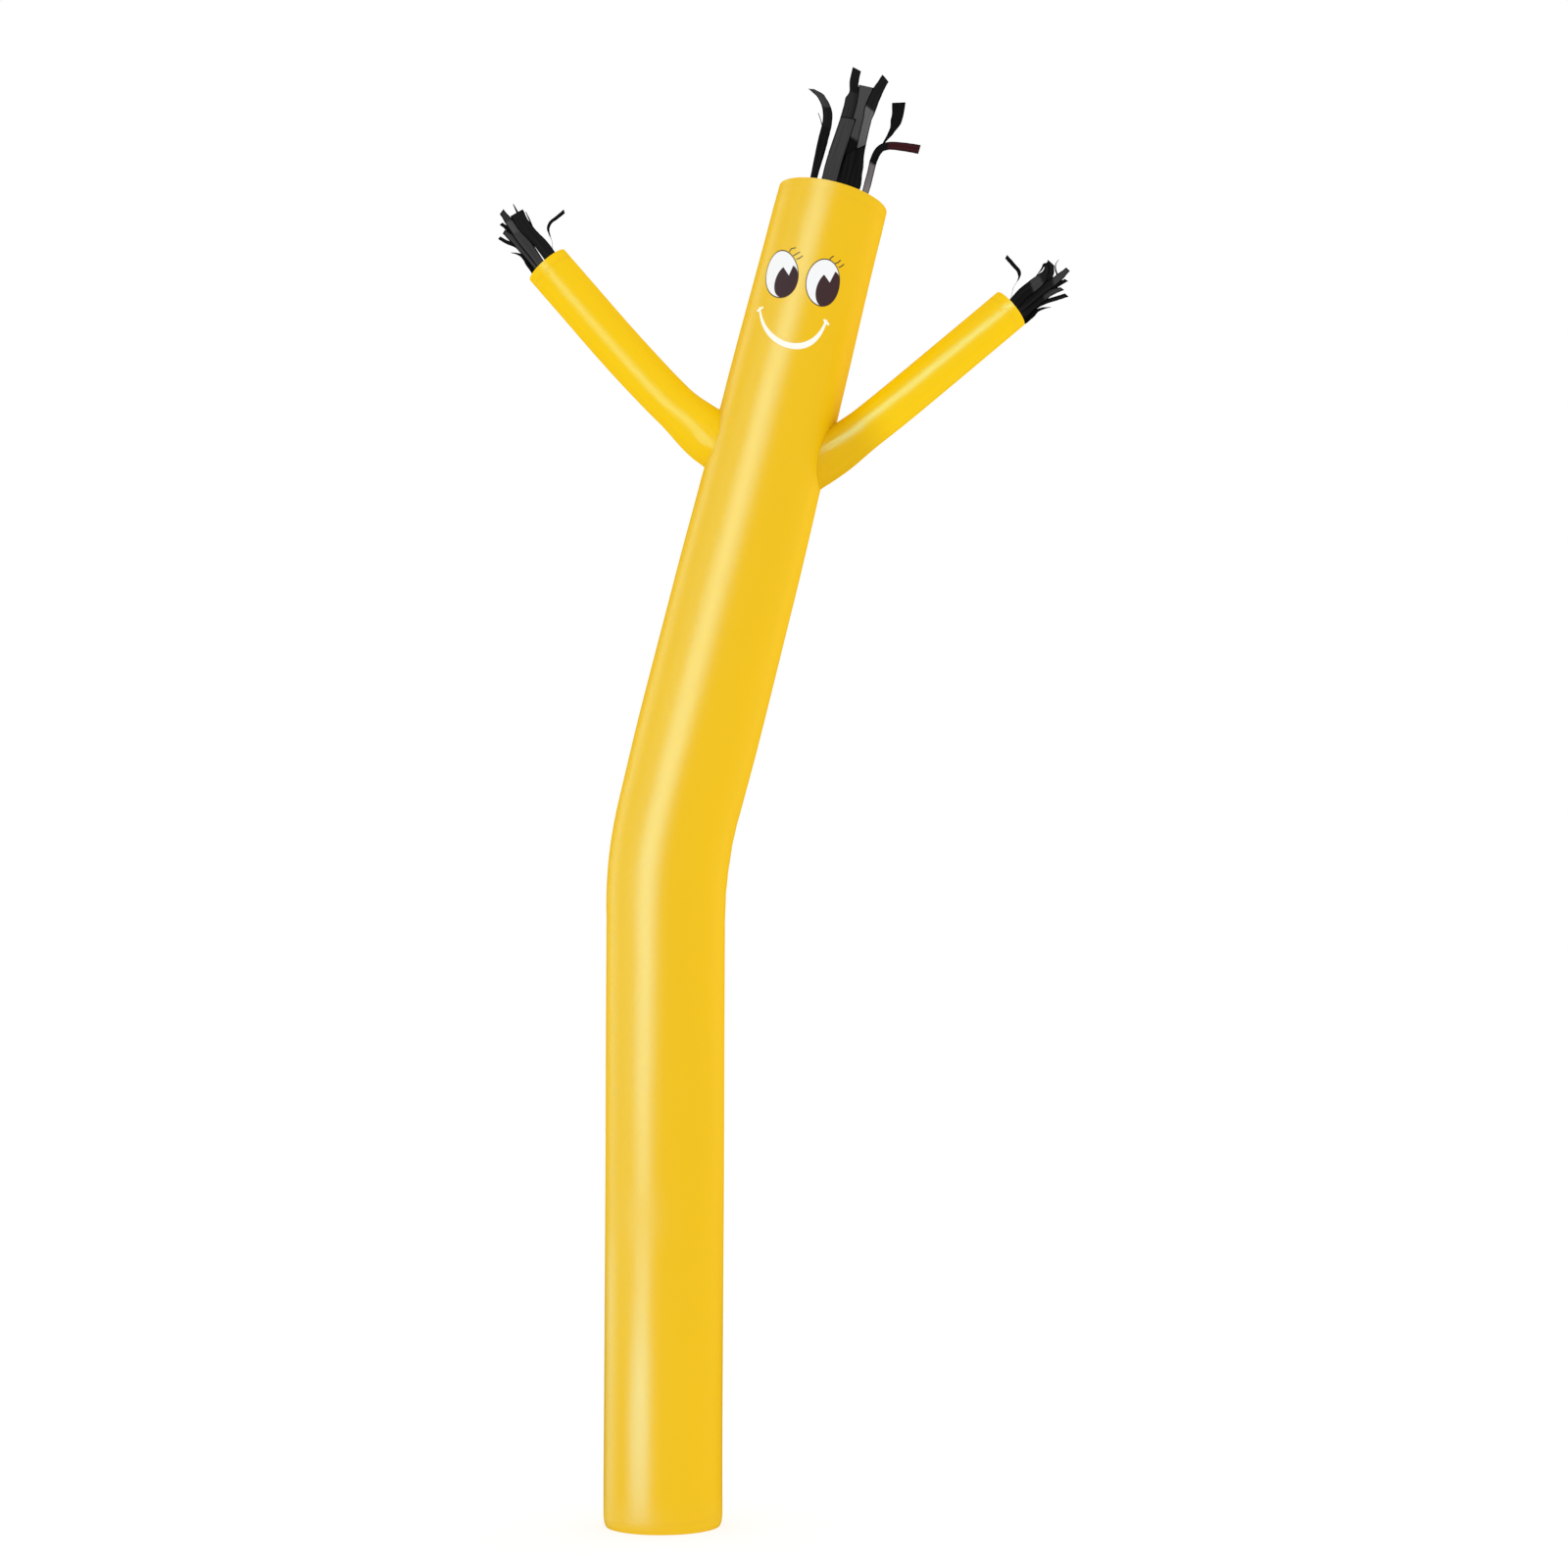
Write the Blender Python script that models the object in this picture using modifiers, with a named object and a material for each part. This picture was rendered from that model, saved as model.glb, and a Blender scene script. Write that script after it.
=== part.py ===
"""Inflatable air dancer: a one-legged tube figure of light cloth, leaning to one side, with two raised
arms and bunches of ribbons at its head and hands.

Units are metres and +Z is up. The origin is the centre of the foot, on the surface that it stands on.
The figure faces -Y and bends in the XZ plane, towards +X. A place on the body or an arm is given by its
distance along that tube's centreline, and each place has a frame: X to the right as seen from the
front, Y to the back and Z along the tube.
"""

import math
from collections import namedtuple

import bmesh
import bpy
from mathutils import Matrix, Vector

# The body's centreline: an upright stem, a round bend and a straight upper part up to the head's rim.
STEM_HEIGHT = 1.290
BEND_RADIUS = 0.920
LEAN_ANGLE = math.radians(13.9)
UPPER_LENGTH = 1.397
BEND_LENGTH = BEND_RADIUS * LEAN_ANGLE
BODY_LENGTH = STEM_HEIGHT + BEND_LENGTH + UPPER_LENGTH

# The cloth's walls. The stem's is the thickest, and it thins out round the bend.
STEM_WALL = 0.0030
HEAD_WALL = 0.0010
ARM_WALL = 0.0010
SEAM_GAP = 0.0003

# A hem is a straight band at a tube's open end, drawn in a little below the full girth.
FOOT_HEM = 0.010
HEAD_HEM = 0.030
HAND_HEM = 0.024
HEM_TURN = 0.020

BODY_SIDES = 48
ARM_SIDES = 24
STEM_STEP = 0.300
BEND_STEPS = 7
UPPER_STEP = 0.200
ARM_STEP = 0.050
ARM_WALK = 0.010

Girth = namedtuple("Girth", "along diameter")
BODY_GIRTHS = (
    Girth(0.000, 0.2450),
    Girth(FOOT_HEM, 0.2450),
    Girth(FOOT_HEM + HEM_TURN, 0.2500),
    Girth(1.200, 0.2540),
    Girth(1.450, 0.2610),
    Girth(1.700, 0.2670),
    Girth(2.000, 0.2650),
    Girth(2.400, 0.2570),
    Girth(BODY_LENGTH - HEAD_HEM - HEM_TURN, 0.2470),
    Girth(BODY_LENGTH - HEAD_HEM, 0.2430),
    Girth(BODY_LENGTH, 0.2430),
)

# side is -1 on the figure's left in a front view and 1 on its right. root_along is the root's place on
# the body, and length runs from the body's wall to the hand's rim. lift is the slope above level and
# front is the turn towards -Y, both in degrees, each easing from the root's value to the hand's over
# about ease metres. The root flares into its seam.
Arm = namedtuple("Arm", "name side root_along length lift_root lift_hand front_root front_hand ease girth root_girth")
ARMS = (
    Arm("left", -1, 2.322, 0.529, 36.5, 49.6, 2.0, 4.0, 0.127, 0.101, 0.122),
    Arm("right", 1, 2.340, 0.520, 32.1, 40.5, 8.0, 0.0, 0.081, 0.093, 0.104),
)
ROOT_FLARE = 0.110
ROOT_INSET = 0.070

# A ribbon bunch: ribbons cut from the top of a tape that lines the inside of the hem.
TAPE_THICKNESS = 0.0012
HEAD_TAPE_HEIGHT = 0.025
HAND_TAPE_HEIGHT = 0.018
TAPE_SET_BACK = 0.002
RIBBON_THICKNESS = 0.0012
RIBBON_STEPS = 10
STRAIGHT_ROOT = 0.005
BEND_SPREAD = 0.34
TIP_SLANT = 0.35

# slot counts the tape's facets from the front towards the right. lean is the slope to the right and
# back the slope to the back, in degrees, as the ribbon leaves the hem. About bend_at of its length it
# turns further, by curl to the right and by fall to the back. twist turns its face by the tip.
Ribbon = namedtuple("Ribbon", "slot width length lean back bend_at curl fall twist")
HEAD_RIBBONS = (
    Ribbon(-4, 0.020, 0.221, 3, -4, 0.78, -68, 0, 20),
    Ribbon(-2, 0.030, 0.160, 10, 2, 0.57, -8, 4, 0),
    Ribbon(0, 0.022, 0.181, 9, 9, 0.53, -12, 5, 25),
    Ribbon(2, 0.022, 0.110, 4, 2, 0.57, -12, -6, -15),
    Ribbon(4, 0.018, 0.194, 6, -4, 0.63, 84, -6, -90),
    Ribbon(16, 0.026, 0.280, -5, -6, 0.68, 9, 4, 62),
    Ribbon(21, 0.022, 0.334, -4, -9, 0.82, 22, 0, -20),
    Ribbon(23, 0.024, 0.307, -2, -7, 0.60, 3, 4, 10),
    Ribbon(25, 0.020, 0.337, 1, -10, 0.90, -7, 0, 15),
    Ribbon(27, 0.018, 0.242, 3, -2, 0.67, -28, 10, -70),
)
LEFT_HAND_RIBBONS = (
    Ribbon(1, 0.020, 0.124, -5, -5, 0.61, 16, 0, 10),
    Ribbon(-1, 0.016, 0.149, -15, 2, 0.33, 21, 3, -15),
    Ribbon(-3, 0.012, 0.114, 3, -9, 0.71, -41, -2, 20),
    Ribbon(-5, 0.010, 0.095, 18, -3, 0.51, -51, -4, -30),
    Ribbon(7, 0.010, 0.137, -5, 4, 0.73, 18, 6, -75),
    Ribbon(9, 0.012, 0.143, 22, 6, 0.69, 70, 4, 60),
    Ribbon(11, 0.017, 0.155, 10, 3, 0.66, -11, 3, 15),
    Ribbon(13, 0.015, 0.160, 8, 6, 0.80, -19, 2, -20),
    Ribbon(15, 0.013, 0.136, 24, 1, 0.60, -40, -2, 20),
)
RIGHT_HAND_RIBBONS = (
    Ribbon(-2, 0.020, 0.123, 12, -5, 0.65, -26, 0, -10),
    Ribbon(0, 0.017, 0.150, 20, -1, 0.36, -22, 3, 15),
    Ribbon(2, 0.012, 0.113, 12, -6, 0.86, 21, -2, -20),
    Ribbon(4, 0.010, 0.092, 5, -3, 0.68, 30, -4, 30),
    Ribbon(-8, 0.010, 0.126, 12, 4, 0.80, -18, 6, 75),
    Ribbon(-10, 0.012, 0.142, -14, 6, 0.64, -74, 4, -60),
    Ribbon(-12, 0.017, 0.175, -4, 3, 0.92, -18, 3, -15),
    Ribbon(-14, 0.016, 0.161, -2, 6, 0.76, 17, 2, 20),
    Ribbon(-16, 0.014, 0.131, -9, 1, 0.70, 30, -2, -20),
)
HAND_RIBBONS = {"left": LEFT_HAND_RIBBONS, "right": RIGHT_HAND_RIBBONS}

YELLOW = (0.880, 0.533, 0.014, 1.0)
ARM_YELLOW = (0.965, 0.610, 0.011, 1.0)
BLACK = (0.022, 0.020, 0.022, 1.0)
CLOTH_ROUGHNESS = 0.45
RIBBON_ROUGHNESS = 0.55
SHARP_ANGLE = math.radians(40)


def clear_scene():
    for thing in list(bpy.data.objects):
        bpy.data.objects.remove(thing, do_unlink=True)


def new_collection(name):
    collection = bpy.data.collections.new(name)
    bpy.context.scene.collection.children.link(collection)
    return collection


def eased(value):
    """0 to 1 with a soft start and end."""
    value = min(max(value, 0.0), 1.0)
    return value * value * (3 - 2 * value)


def cloth(name, colour, roughness):
    material = bpy.data.materials.new(name)
    material.use_nodes = True
    shader = material.node_tree.nodes["Principled BSDF"]
    shader.inputs["Base Color"].default_value = colour
    shader.inputs["Roughness"].default_value = roughness
    shader.inputs["Metallic"].default_value = 0.0
    material.diffuse_color = colour
    return material


def frame_at(point, along):
    """A tube's frame: Z along it, Y to the back, X to the right as seen from the front."""
    along = along.normalized()
    right = Vector((0, 1, 0)).cross(along).normalized()
    back = along.cross(right)
    frame = Matrix((right, back, along)).transposed().to_4x4()
    frame.translation = point
    return frame


def mesh_object(name, bm, collection, material=None):
    mesh = bpy.data.meshes.new(name)
    bm.to_mesh(mesh)
    bm.free()
    mesh.shade_smooth()
    mesh.set_sharp_from_angle(angle=SHARP_ANGLE)
    thing = bpy.data.objects.new(name, mesh)
    if material:
        mesh.materials.append(material)
    collection.objects.link(thing)
    return thing


# ---------------------------------------------------------------- centrelines and girths


def body_frame(along):
    bent = min(max(along - STEM_HEIGHT, 0.0), BEND_LENGTH)
    angle = bent / BEND_RADIUS
    point = Vector((BEND_RADIUS * (1 - math.cos(angle)), 0, min(along, STEM_HEIGHT)))
    point.z += BEND_RADIUS * math.sin(angle)
    direction = Vector((math.sin(angle), 0, math.cos(angle)))
    point += direction * max(along - STEM_HEIGHT - BEND_LENGTH, 0.0)
    return frame_at(point, direction)


def body_radius(along):
    for low, high in zip(BODY_GIRTHS, BODY_GIRTHS[1:]):
        if along <= high.along:
            share = eased((along - low.along) / (high.along - low.along))
            return (low.diameter + (high.diameter - low.diameter) * share) / 2
    return BODY_GIRTHS[-1].diameter / 2


def evenly(start, end, step):
    """Places from start up to, but not at, end, no further apart than step."""
    count = math.ceil((end - start) / step)
    return [start + (end - start) * i / count for i in range(count)]


def body_places():
    above_hem = FOOT_HEM + HEM_TURN
    bend_end = STEM_HEIGHT + BEND_LENGTH
    below_hem = BODY_LENGTH - HEAD_HEM - HEM_TURN
    places = [0.0, FOOT_HEM]
    places += evenly(above_hem, STEM_HEIGHT, STEM_STEP)
    places += evenly(STEM_HEIGHT, bend_end, BEND_LENGTH / BEND_STEPS)
    places += evenly(bend_end, below_hem, UPPER_STEP)
    return places + [below_hem, BODY_LENGTH - HEAD_HEM, BODY_LENGTH]


def body_sections(grown=0.0):
    return [(body_frame(along), body_radius(along) + grown) for along in body_places()]


def arm_direction(arm, along):
    """Slope and turn ease off from the root's to the hand's, as a blown-up sleeve straightens."""
    along = min(max(along, 0.0), arm.length - HAND_HEM)
    root_share = math.exp(-along / arm.ease)
    lift = math.radians(arm.lift_hand + (arm.lift_root - arm.lift_hand) * root_share)
    front = math.radians(arm.front_hand + (arm.front_root - arm.front_hand) * root_share)
    level = math.cos(lift)
    return Vector((arm.side * level * math.cos(front), -level * math.sin(front), math.sin(lift)))


def arm_root(arm):
    """Where the arm's centreline passes through the body's wall."""
    turn = math.radians(arm.front_root)
    out = Vector((arm.side * math.cos(turn), -math.sin(turn), 0))
    return body_frame(arm.root_along) @ (out * body_radius(arm.root_along))


def arm_frame(arm, along):
    """Walks out along the arm from the body's wall, or straight back into the body where along < 0."""
    steps = math.ceil(abs(along) / ARM_WALK) or 1
    step = along / steps
    point = arm_root(arm)
    for i in range(steps):
        point = point + arm_direction(arm, step * (i + 0.5)) * step
    return frame_at(point, arm_direction(arm, along))


def arm_radius(arm, along):
    flare = 1 - eased(along / ROOT_FLARE)
    return (arm.girth + (arm.root_girth - arm.girth) * flare) / 2


def arm_sections(arm):
    hem = arm.length - HAND_HEM
    places = evenly(-ROOT_INSET, hem, ARM_STEP) + [hem, arm.length]
    return [(arm_frame(arm, along), arm_radius(arm, along)) for along in places]


def bore_sections(arm):
    """The arm's hollow from inside the body to just past the flare, for the hole in the body's wall."""
    places = evenly(-ROOT_INSET, ROOT_FLARE, ARM_STEP)
    return [(arm_frame(arm, along), arm_radius(arm, along) - ARM_WALL) for along in places]


# ---------------------------------------------------------------- cloth tubes


def tube_mesh(sections, sides):
    """A circle of cloth extruded from section to section, open at both ends."""
    bm = bmesh.new()
    frame, radius = sections[0]
    bmesh.ops.create_circle(bm, segments=sides, radius=radius, matrix=frame)
    edges = bm.edges[:]
    for next_frame, next_radius in sections[1:]:
        grown = bmesh.ops.extrude_edge_only(bm, edges=edges)["geom"]
        verts = [item for item in grown if isinstance(item, bmesh.types.BMVert)]
        edges = [item for item in grown if isinstance(item, bmesh.types.BMEdge) and item.is_boundary]
        wider = next_radius / radius
        move = next_frame @ Matrix.Diagonal((wider, wider, 1, 1)) @ frame.inverted()
        bmesh.ops.transform(bm, matrix=move, verts=verts)
        frame, radius = next_frame, next_radius
    bmesh.ops.recalc_face_normals(bm, faces=bm.faces)
    return bm


def tube_cutter(name, sections, sides, collection):
    """The same tube as a closed solid, kept as a cutting shape only."""
    bm = tube_mesh(sections, sides)
    bmesh.ops.holes_fill(bm, edges=bm.edges, sides=0)
    bmesh.ops.recalc_face_normals(bm, faces=bm.faces)
    cutter = mesh_object(name, bm, collection)
    cutter.hide_render = True
    cutter.display_type = "WIRE"
    return cutter


def give_wall(tube, thickness):
    wall = tube.modifiers.new("wall", "SOLIDIFY")
    wall.thickness = thickness
    wall.offset = -1
    return wall


def thin_round_bend(tube, wall):
    """The stem's full wall, down to the head's wall by the end of the bend."""
    weights = tube.vertex_groups.new(name="wall_weight")
    places = body_places()
    for vertex in tube.data.vertices:
        bent = (places[vertex.index // BODY_SIDES] - STEM_HEIGHT) / BEND_LENGTH
        weights.add([vertex.index], 1 - min(max(bent, 0.0), 1.0), "REPLACE")
    wall.vertex_group = weights.name
    wall.thickness_vertex_group = HEAD_WALL / STEM_WALL


def cut(tube, cutter):
    hole = tube.modifiers.new("cut_" + cutter.name, "BOOLEAN")
    hole.operation = "DIFFERENCE"
    hole.solver = "EXACT"
    hole.object = cutter


def make_body(parts, cutters):
    material = cloth("body_cloth", YELLOW, CLOTH_ROUGHNESS)
    body = mesh_object("body_tube", tube_mesh(body_sections(), BODY_SIDES), parts, material)
    thin_round_bend(body, give_wall(body, STEM_WALL))
    for arm in ARMS:
        cut(body, tube_cutter(f"air_hole_{arm.name}", bore_sections(arm), ARM_SIDES, cutters))


def make_arms(parts, cutters):
    """Each arm's root is trimmed to the body's outside, a seam's gap away from it."""
    envelope = tube_cutter("body_envelope", body_sections(SEAM_GAP), BODY_SIDES, cutters)
    for arm in ARMS:
        name = f"arm_{arm.name}"
        material = cloth(f"{name}_cloth", ARM_YELLOW, CLOTH_ROUGHNESS)
        tube = mesh_object(name, tube_mesh(arm_sections(arm), ARM_SIDES), parts, material)
        give_wall(tube, ARM_WALL)
        cut(tube, envelope)


# ---------------------------------------------------------------- ribbon bunches


def ribbon_sections(ribbon, root, width_way):
    """Frames up one ribbon, in its mouth's own frame. X is across its width and Y through its cloth."""
    step = (ribbon.length - STRAIGHT_ROOT) / RIBBON_STEPS
    point = root
    sections = []
    for i in range(1, RIBBON_STEPS + 1):
        bend = eased((i / RIBBON_STEPS - ribbon.bend_at) / BEND_SPREAD + 0.5)
        side = math.radians(ribbon.lean + ribbon.curl * bend)
        back = math.radians(ribbon.back + ribbon.fall * bend)
        along = Vector((math.sin(side) * math.cos(back), math.sin(back), math.cos(side) * math.cos(back)))
        point = point + along * step
        across = (width_way - along * width_way.dot(along)).normalized()
        across.rotate(Matrix.Rotation(math.radians(ribbon.twist) * bend, 3, along))
        through = along.cross(across)
        frame = Matrix((across, through, along)).transposed().to_4x4()
        frame.translation = point
        sections.append(frame)
    return sections


def tape_mesh(radius, height, sides):
    """A flat ring: the tape's section, spun round the mouth's axis. Its top edge lies at Z = 0."""
    bm = bmesh.new()
    outer = Vector((radius, 0, 0))
    inner = Vector((radius - TAPE_THICKNESS, 0, 0))
    drop = Vector((0, 0, -height))
    corners = [bm.verts.new(corner) for corner in (inner, outer, outer + drop, inner + drop)]
    section = [bm.edges.new((corner, corners[i - 1])) for i, corner in enumerate(corners)]
    bmesh.ops.spin(
        bm,
        geom=corners + section,
        axis=(0, 0, 1),
        cent=(0, 0, 0),
        angle=math.tau,
        steps=sides,
        use_merge=True,
    )
    bmesh.ops.remove_doubles(bm, verts=bm.verts, dist=0.00001)
    bmesh.ops.recalc_face_normals(bm, faces=bm.faces)
    return bm


def grow_ribbon(bm, ribbon, sides, slant):
    """Extrudes the tape's top facet at the ribbon's slot, straight up past the rim and then outwards."""
    turn = math.tau * (ribbon.slot + 0.5) / sides
    outward = Vector((math.sin(turn), -math.cos(turn), 0))
    across = Vector((math.cos(turn), math.sin(turn), 0))
    tops = [face for face in bm.faces if face.normal.z > 0.99 and abs(face.calc_center_median().z) < 1e-6]
    face = max(tops, key=lambda top: top.calc_center_median().dot(outward))
    face = bmesh.ops.extrude_discrete_faces(bm, faces=[face])["faces"][0]
    bmesh.ops.translate(bm, vec=(0, 0, STRAIGHT_ROOT), verts=face.verts)
    root = face.calc_center_median()
    corners = [
        (
            math.copysign(ribbon.width / 2, (vertex.co - root).dot(across)),
            math.copysign(RIBBON_THICKNESS / 2, (root - vertex.co).dot(outward)),
        )
        for vertex in face.verts
    ]
    for frame in ribbon_sections(ribbon, root, across):
        face = bmesh.ops.extrude_discrete_faces(bm, faces=[face])["faces"][0]
        for vertex, (side, through) in zip(face.verts, corners):
            vertex.co = frame @ Vector((side, through, 0))
    for vertex, (side, _) in zip(face.verts, corners):
        vertex.co += frame.col[2].to_3d() * (side * slant)


def make_bunch(name, ribbons, mouth, rim_radius, height, sides, parts):
    """Tape and ribbons in one piece, placed just inside the hem."""
    bm = tape_mesh(rim_radius - SEAM_GAP, height, sides)
    for number, ribbon in enumerate(ribbons):
        grow_ribbon(bm, ribbon, sides, TIP_SLANT if number % 2 else -TIP_SLANT)
    bmesh.ops.transform(bm, matrix=mouth @ Matrix.Translation((0, 0, -TAPE_SET_BACK)), verts=bm.verts)
    mesh_object(name, bm, parts, cloth(f"{name}_cloth", BLACK, RIBBON_ROUGHNESS))


def make_ribbons(parts):
    head_radius = body_radius(BODY_LENGTH) - HEAD_WALL
    head = body_frame(BODY_LENGTH)
    make_bunch("ribbons_head", HEAD_RIBBONS, head, head_radius, HEAD_TAPE_HEIGHT, BODY_SIDES, parts)
    for arm in ARMS:
        hand = arm_frame(arm, arm.length)
        radius = arm_radius(arm, arm.length) - ARM_WALL
        name = f"ribbons_{arm.name}_hand"
        make_bunch(name, HAND_RIBBONS[arm.name], hand, radius, HAND_TAPE_HEIGHT, ARM_SIDES, parts)


def main():
    clear_scene()
    parts = new_collection("air_dancer")
    cutters = new_collection("cutters")
    make_body(parts, cutters)
    make_arms(parts, cutters)
    make_ribbons(parts)


main()
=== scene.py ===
"""Inflatable air dancer: the cloth skins, ribbons, thread and printed face that dress the CAD frame.

Units are metres and +Z is up. The figure faces -Y and bends towards +X. A place on a tube is given by
its distance along the tube's centreline and its turn round it, which is 0 at the front and grows
towards the right as seen from the front.
"""

import math
from collections import namedtuple

import bmesh
import bpy
from mathutils import Matrix, Vector, noise


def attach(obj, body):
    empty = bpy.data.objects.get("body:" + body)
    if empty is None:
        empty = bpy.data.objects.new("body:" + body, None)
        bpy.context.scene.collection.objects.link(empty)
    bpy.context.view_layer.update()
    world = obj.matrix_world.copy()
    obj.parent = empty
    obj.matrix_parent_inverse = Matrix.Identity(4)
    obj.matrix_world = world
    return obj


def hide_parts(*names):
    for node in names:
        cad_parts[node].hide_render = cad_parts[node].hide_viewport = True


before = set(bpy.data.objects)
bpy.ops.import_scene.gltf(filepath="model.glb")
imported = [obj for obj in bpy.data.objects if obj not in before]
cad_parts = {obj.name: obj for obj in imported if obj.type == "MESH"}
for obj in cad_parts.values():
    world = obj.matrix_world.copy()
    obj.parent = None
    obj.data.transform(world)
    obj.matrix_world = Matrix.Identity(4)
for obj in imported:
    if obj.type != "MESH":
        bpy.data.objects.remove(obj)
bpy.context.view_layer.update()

# The body's centreline: an upright stem, a round bend and a straight upper part.
STEM_HEIGHT = 1.290
BEND_RADIUS = 0.920
LEAN_ANGLE = math.radians(13.9)
UPPER_LENGTH = 1.397
BEND_LENGTH = BEND_RADIUS * LEAN_ANGLE
BODY_LENGTH = STEM_HEIGHT + BEND_LENGTH + UPPER_LENGTH

# A hem is a band of the same cloth turned in at a rim. SKIN is the cloth's thickness, SEAM_GAP the room at
# a sewn seam, and an edge sharper than SHARP_EDGE isn't smoothed.
HEAD_HEM = 0.030
HAND_HEM = 0.024
HEM_TURN = 0.020
SEAM_GAP = 0.0003
SKIN = 0.0010
SHARP_EDGE = math.radians(50)

Girth = namedtuple("Girth", "along diameter")
BODY_GIRTHS = (
    Girth(0.000, 0.2390),
    Girth(0.004, 0.2435),
    Girth(0.010, 0.2472),
    Girth(0.022, 0.2500),
    Girth(1.200, 0.2540),
    Girth(1.450, 0.2610),
    Girth(1.700, 0.2670),
    Girth(2.000, 0.2650),
    Girth(2.400, 0.2570),
    Girth(BODY_LENGTH - HEAD_HEM - HEM_TURN, 0.2470),
    Girth(BODY_LENGTH - HEAD_HEM, 0.2460),
    Girth(BODY_LENGTH, 0.2450),
)

# An arm leaves the body at root_along, on side -1 or 1. Lift is its rise above level and front its turn to
# the front, in degrees. The root's values fade into the hand's, the sooner the smaller ease is. Girths are
# diameters, and flat is the sleeve's size as flat cloth.
Arm = namedtuple(
    "Arm",
    "name side root_along length lift_root lift_hand front_root front_hand ease girth root_girth flat",
)
ARMS = (
    Arm("left", -1, 2.322, 0.529, 36.5, 49.6, 2.0, 4.0, 0.127, 0.101, 0.122, (0.335, 0.580)),
    Arm("right", 1, 2.340, 0.520, 32.1, 40.5, 8.0, 0.0, 0.081, 0.093, 0.104, (0.305, 0.570)),
)

# A sleeve narrows over ROOT_FLARE. Its seam is looked for from ROOT_INSET inside the body up to ROOT_REACH,
# it starts SEAM_SINK inside the body's outside, and its centreline is walked in steps of ARM_WALK.
ROOT_FLARE = 0.110
ROOT_INSET = 0.070
ROOT_REACH = 0.120
SEAM_SINK = 0.0008
ARM_WALK = 0.010

# The tubes' meshes: faces round a tube, and about how far apart its rings are.
BODY_COLUMNS = 176
BODY_RING_STEP = 0.014
ARM_COLUMNS = 88
ARM_RING_STEP = 0.009
HEM_RING_STEP = 0.004
AIR_HOLE_COLUMNS = 48

# The ribbon bunches. A ribbon is rooted at a turn round its mouth, in degrees, and its path is the line up
# its middle, in millimetres to the right, back and along from the middle of the rim. It twists by so many
# degrees up to its tip, whose cut slants. Widths, in millimetres, and colours go by share of its length. The
# colours are dyes and painted sheen, grey where a face catches the light. A ribbon without colours is plain
# black.
TAPE_THICKNESS = 0.0012
HEAD_TAPE_HEIGHT = 0.025
HAND_TAPE_HEIGHT = 0.018
TAPE_SET_BACK = 0.002
TAPE_COLUMNS = 120
ROOT_DEPTH = 0.012
RIBBON_STEP = 0.004
RIBBON_STRANDS = 6
RIBBON_SKIN = 0.0007

# From its root up, a ribbon has turned its face to the front and lost the rim's curve by these shares of
# its length, and its slanted tip starts at TIP_FROM. CUP is a share of its width, RUFFLE and FRAY metres.
FRONT_BY = 0.25
GROWN_BY = 0.20
TIP_FROM = 0.86
CUP = 0.16
RUFFLE = 0.0012
FRAY = 0.0005
# How far a colour change slants across a ribbon and how long it takes. The changes are between dye and painted
# sheen.
DYE_AND_SHEEN_SLANT = 0.2
DYE_AND_SHEEN_CHANGE = 0.006
TAPE_FROM_EDGE = 0.010

# Colours are linear: red, green, blue and opacity.
# The ribbons are black nylon. BLACK and OXBLOOD are dyes. CHARCOAL, SMOKE, GREY, ASH, SILVER and LILAC are
# painted sheen, lighter where a ribbon's face catches the light. ASH also tints the ribbons' paler streaks.
BLACK = (0.0055, 0.0055, 0.0058, 1.0)
CHARCOAL = (0.0125, 0.0120, 0.0125, 1.0)
SMOKE = (0.038, 0.037, 0.038, 1.0)
GREY = (0.062, 0.060, 0.062, 1.0)
ASH = (0.100, 0.098, 0.100, 1.0)
SILVER = (0.160, 0.157, 0.161, 1.0)
LILAC = (0.285, 0.255, 0.265, 1.0)
OXBLOOD = (0.060, 0.0070, 0.0105, 1.0)
EDGE_BLACK = (0.0020, 0.0020, 0.0022, 1.0)

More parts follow.
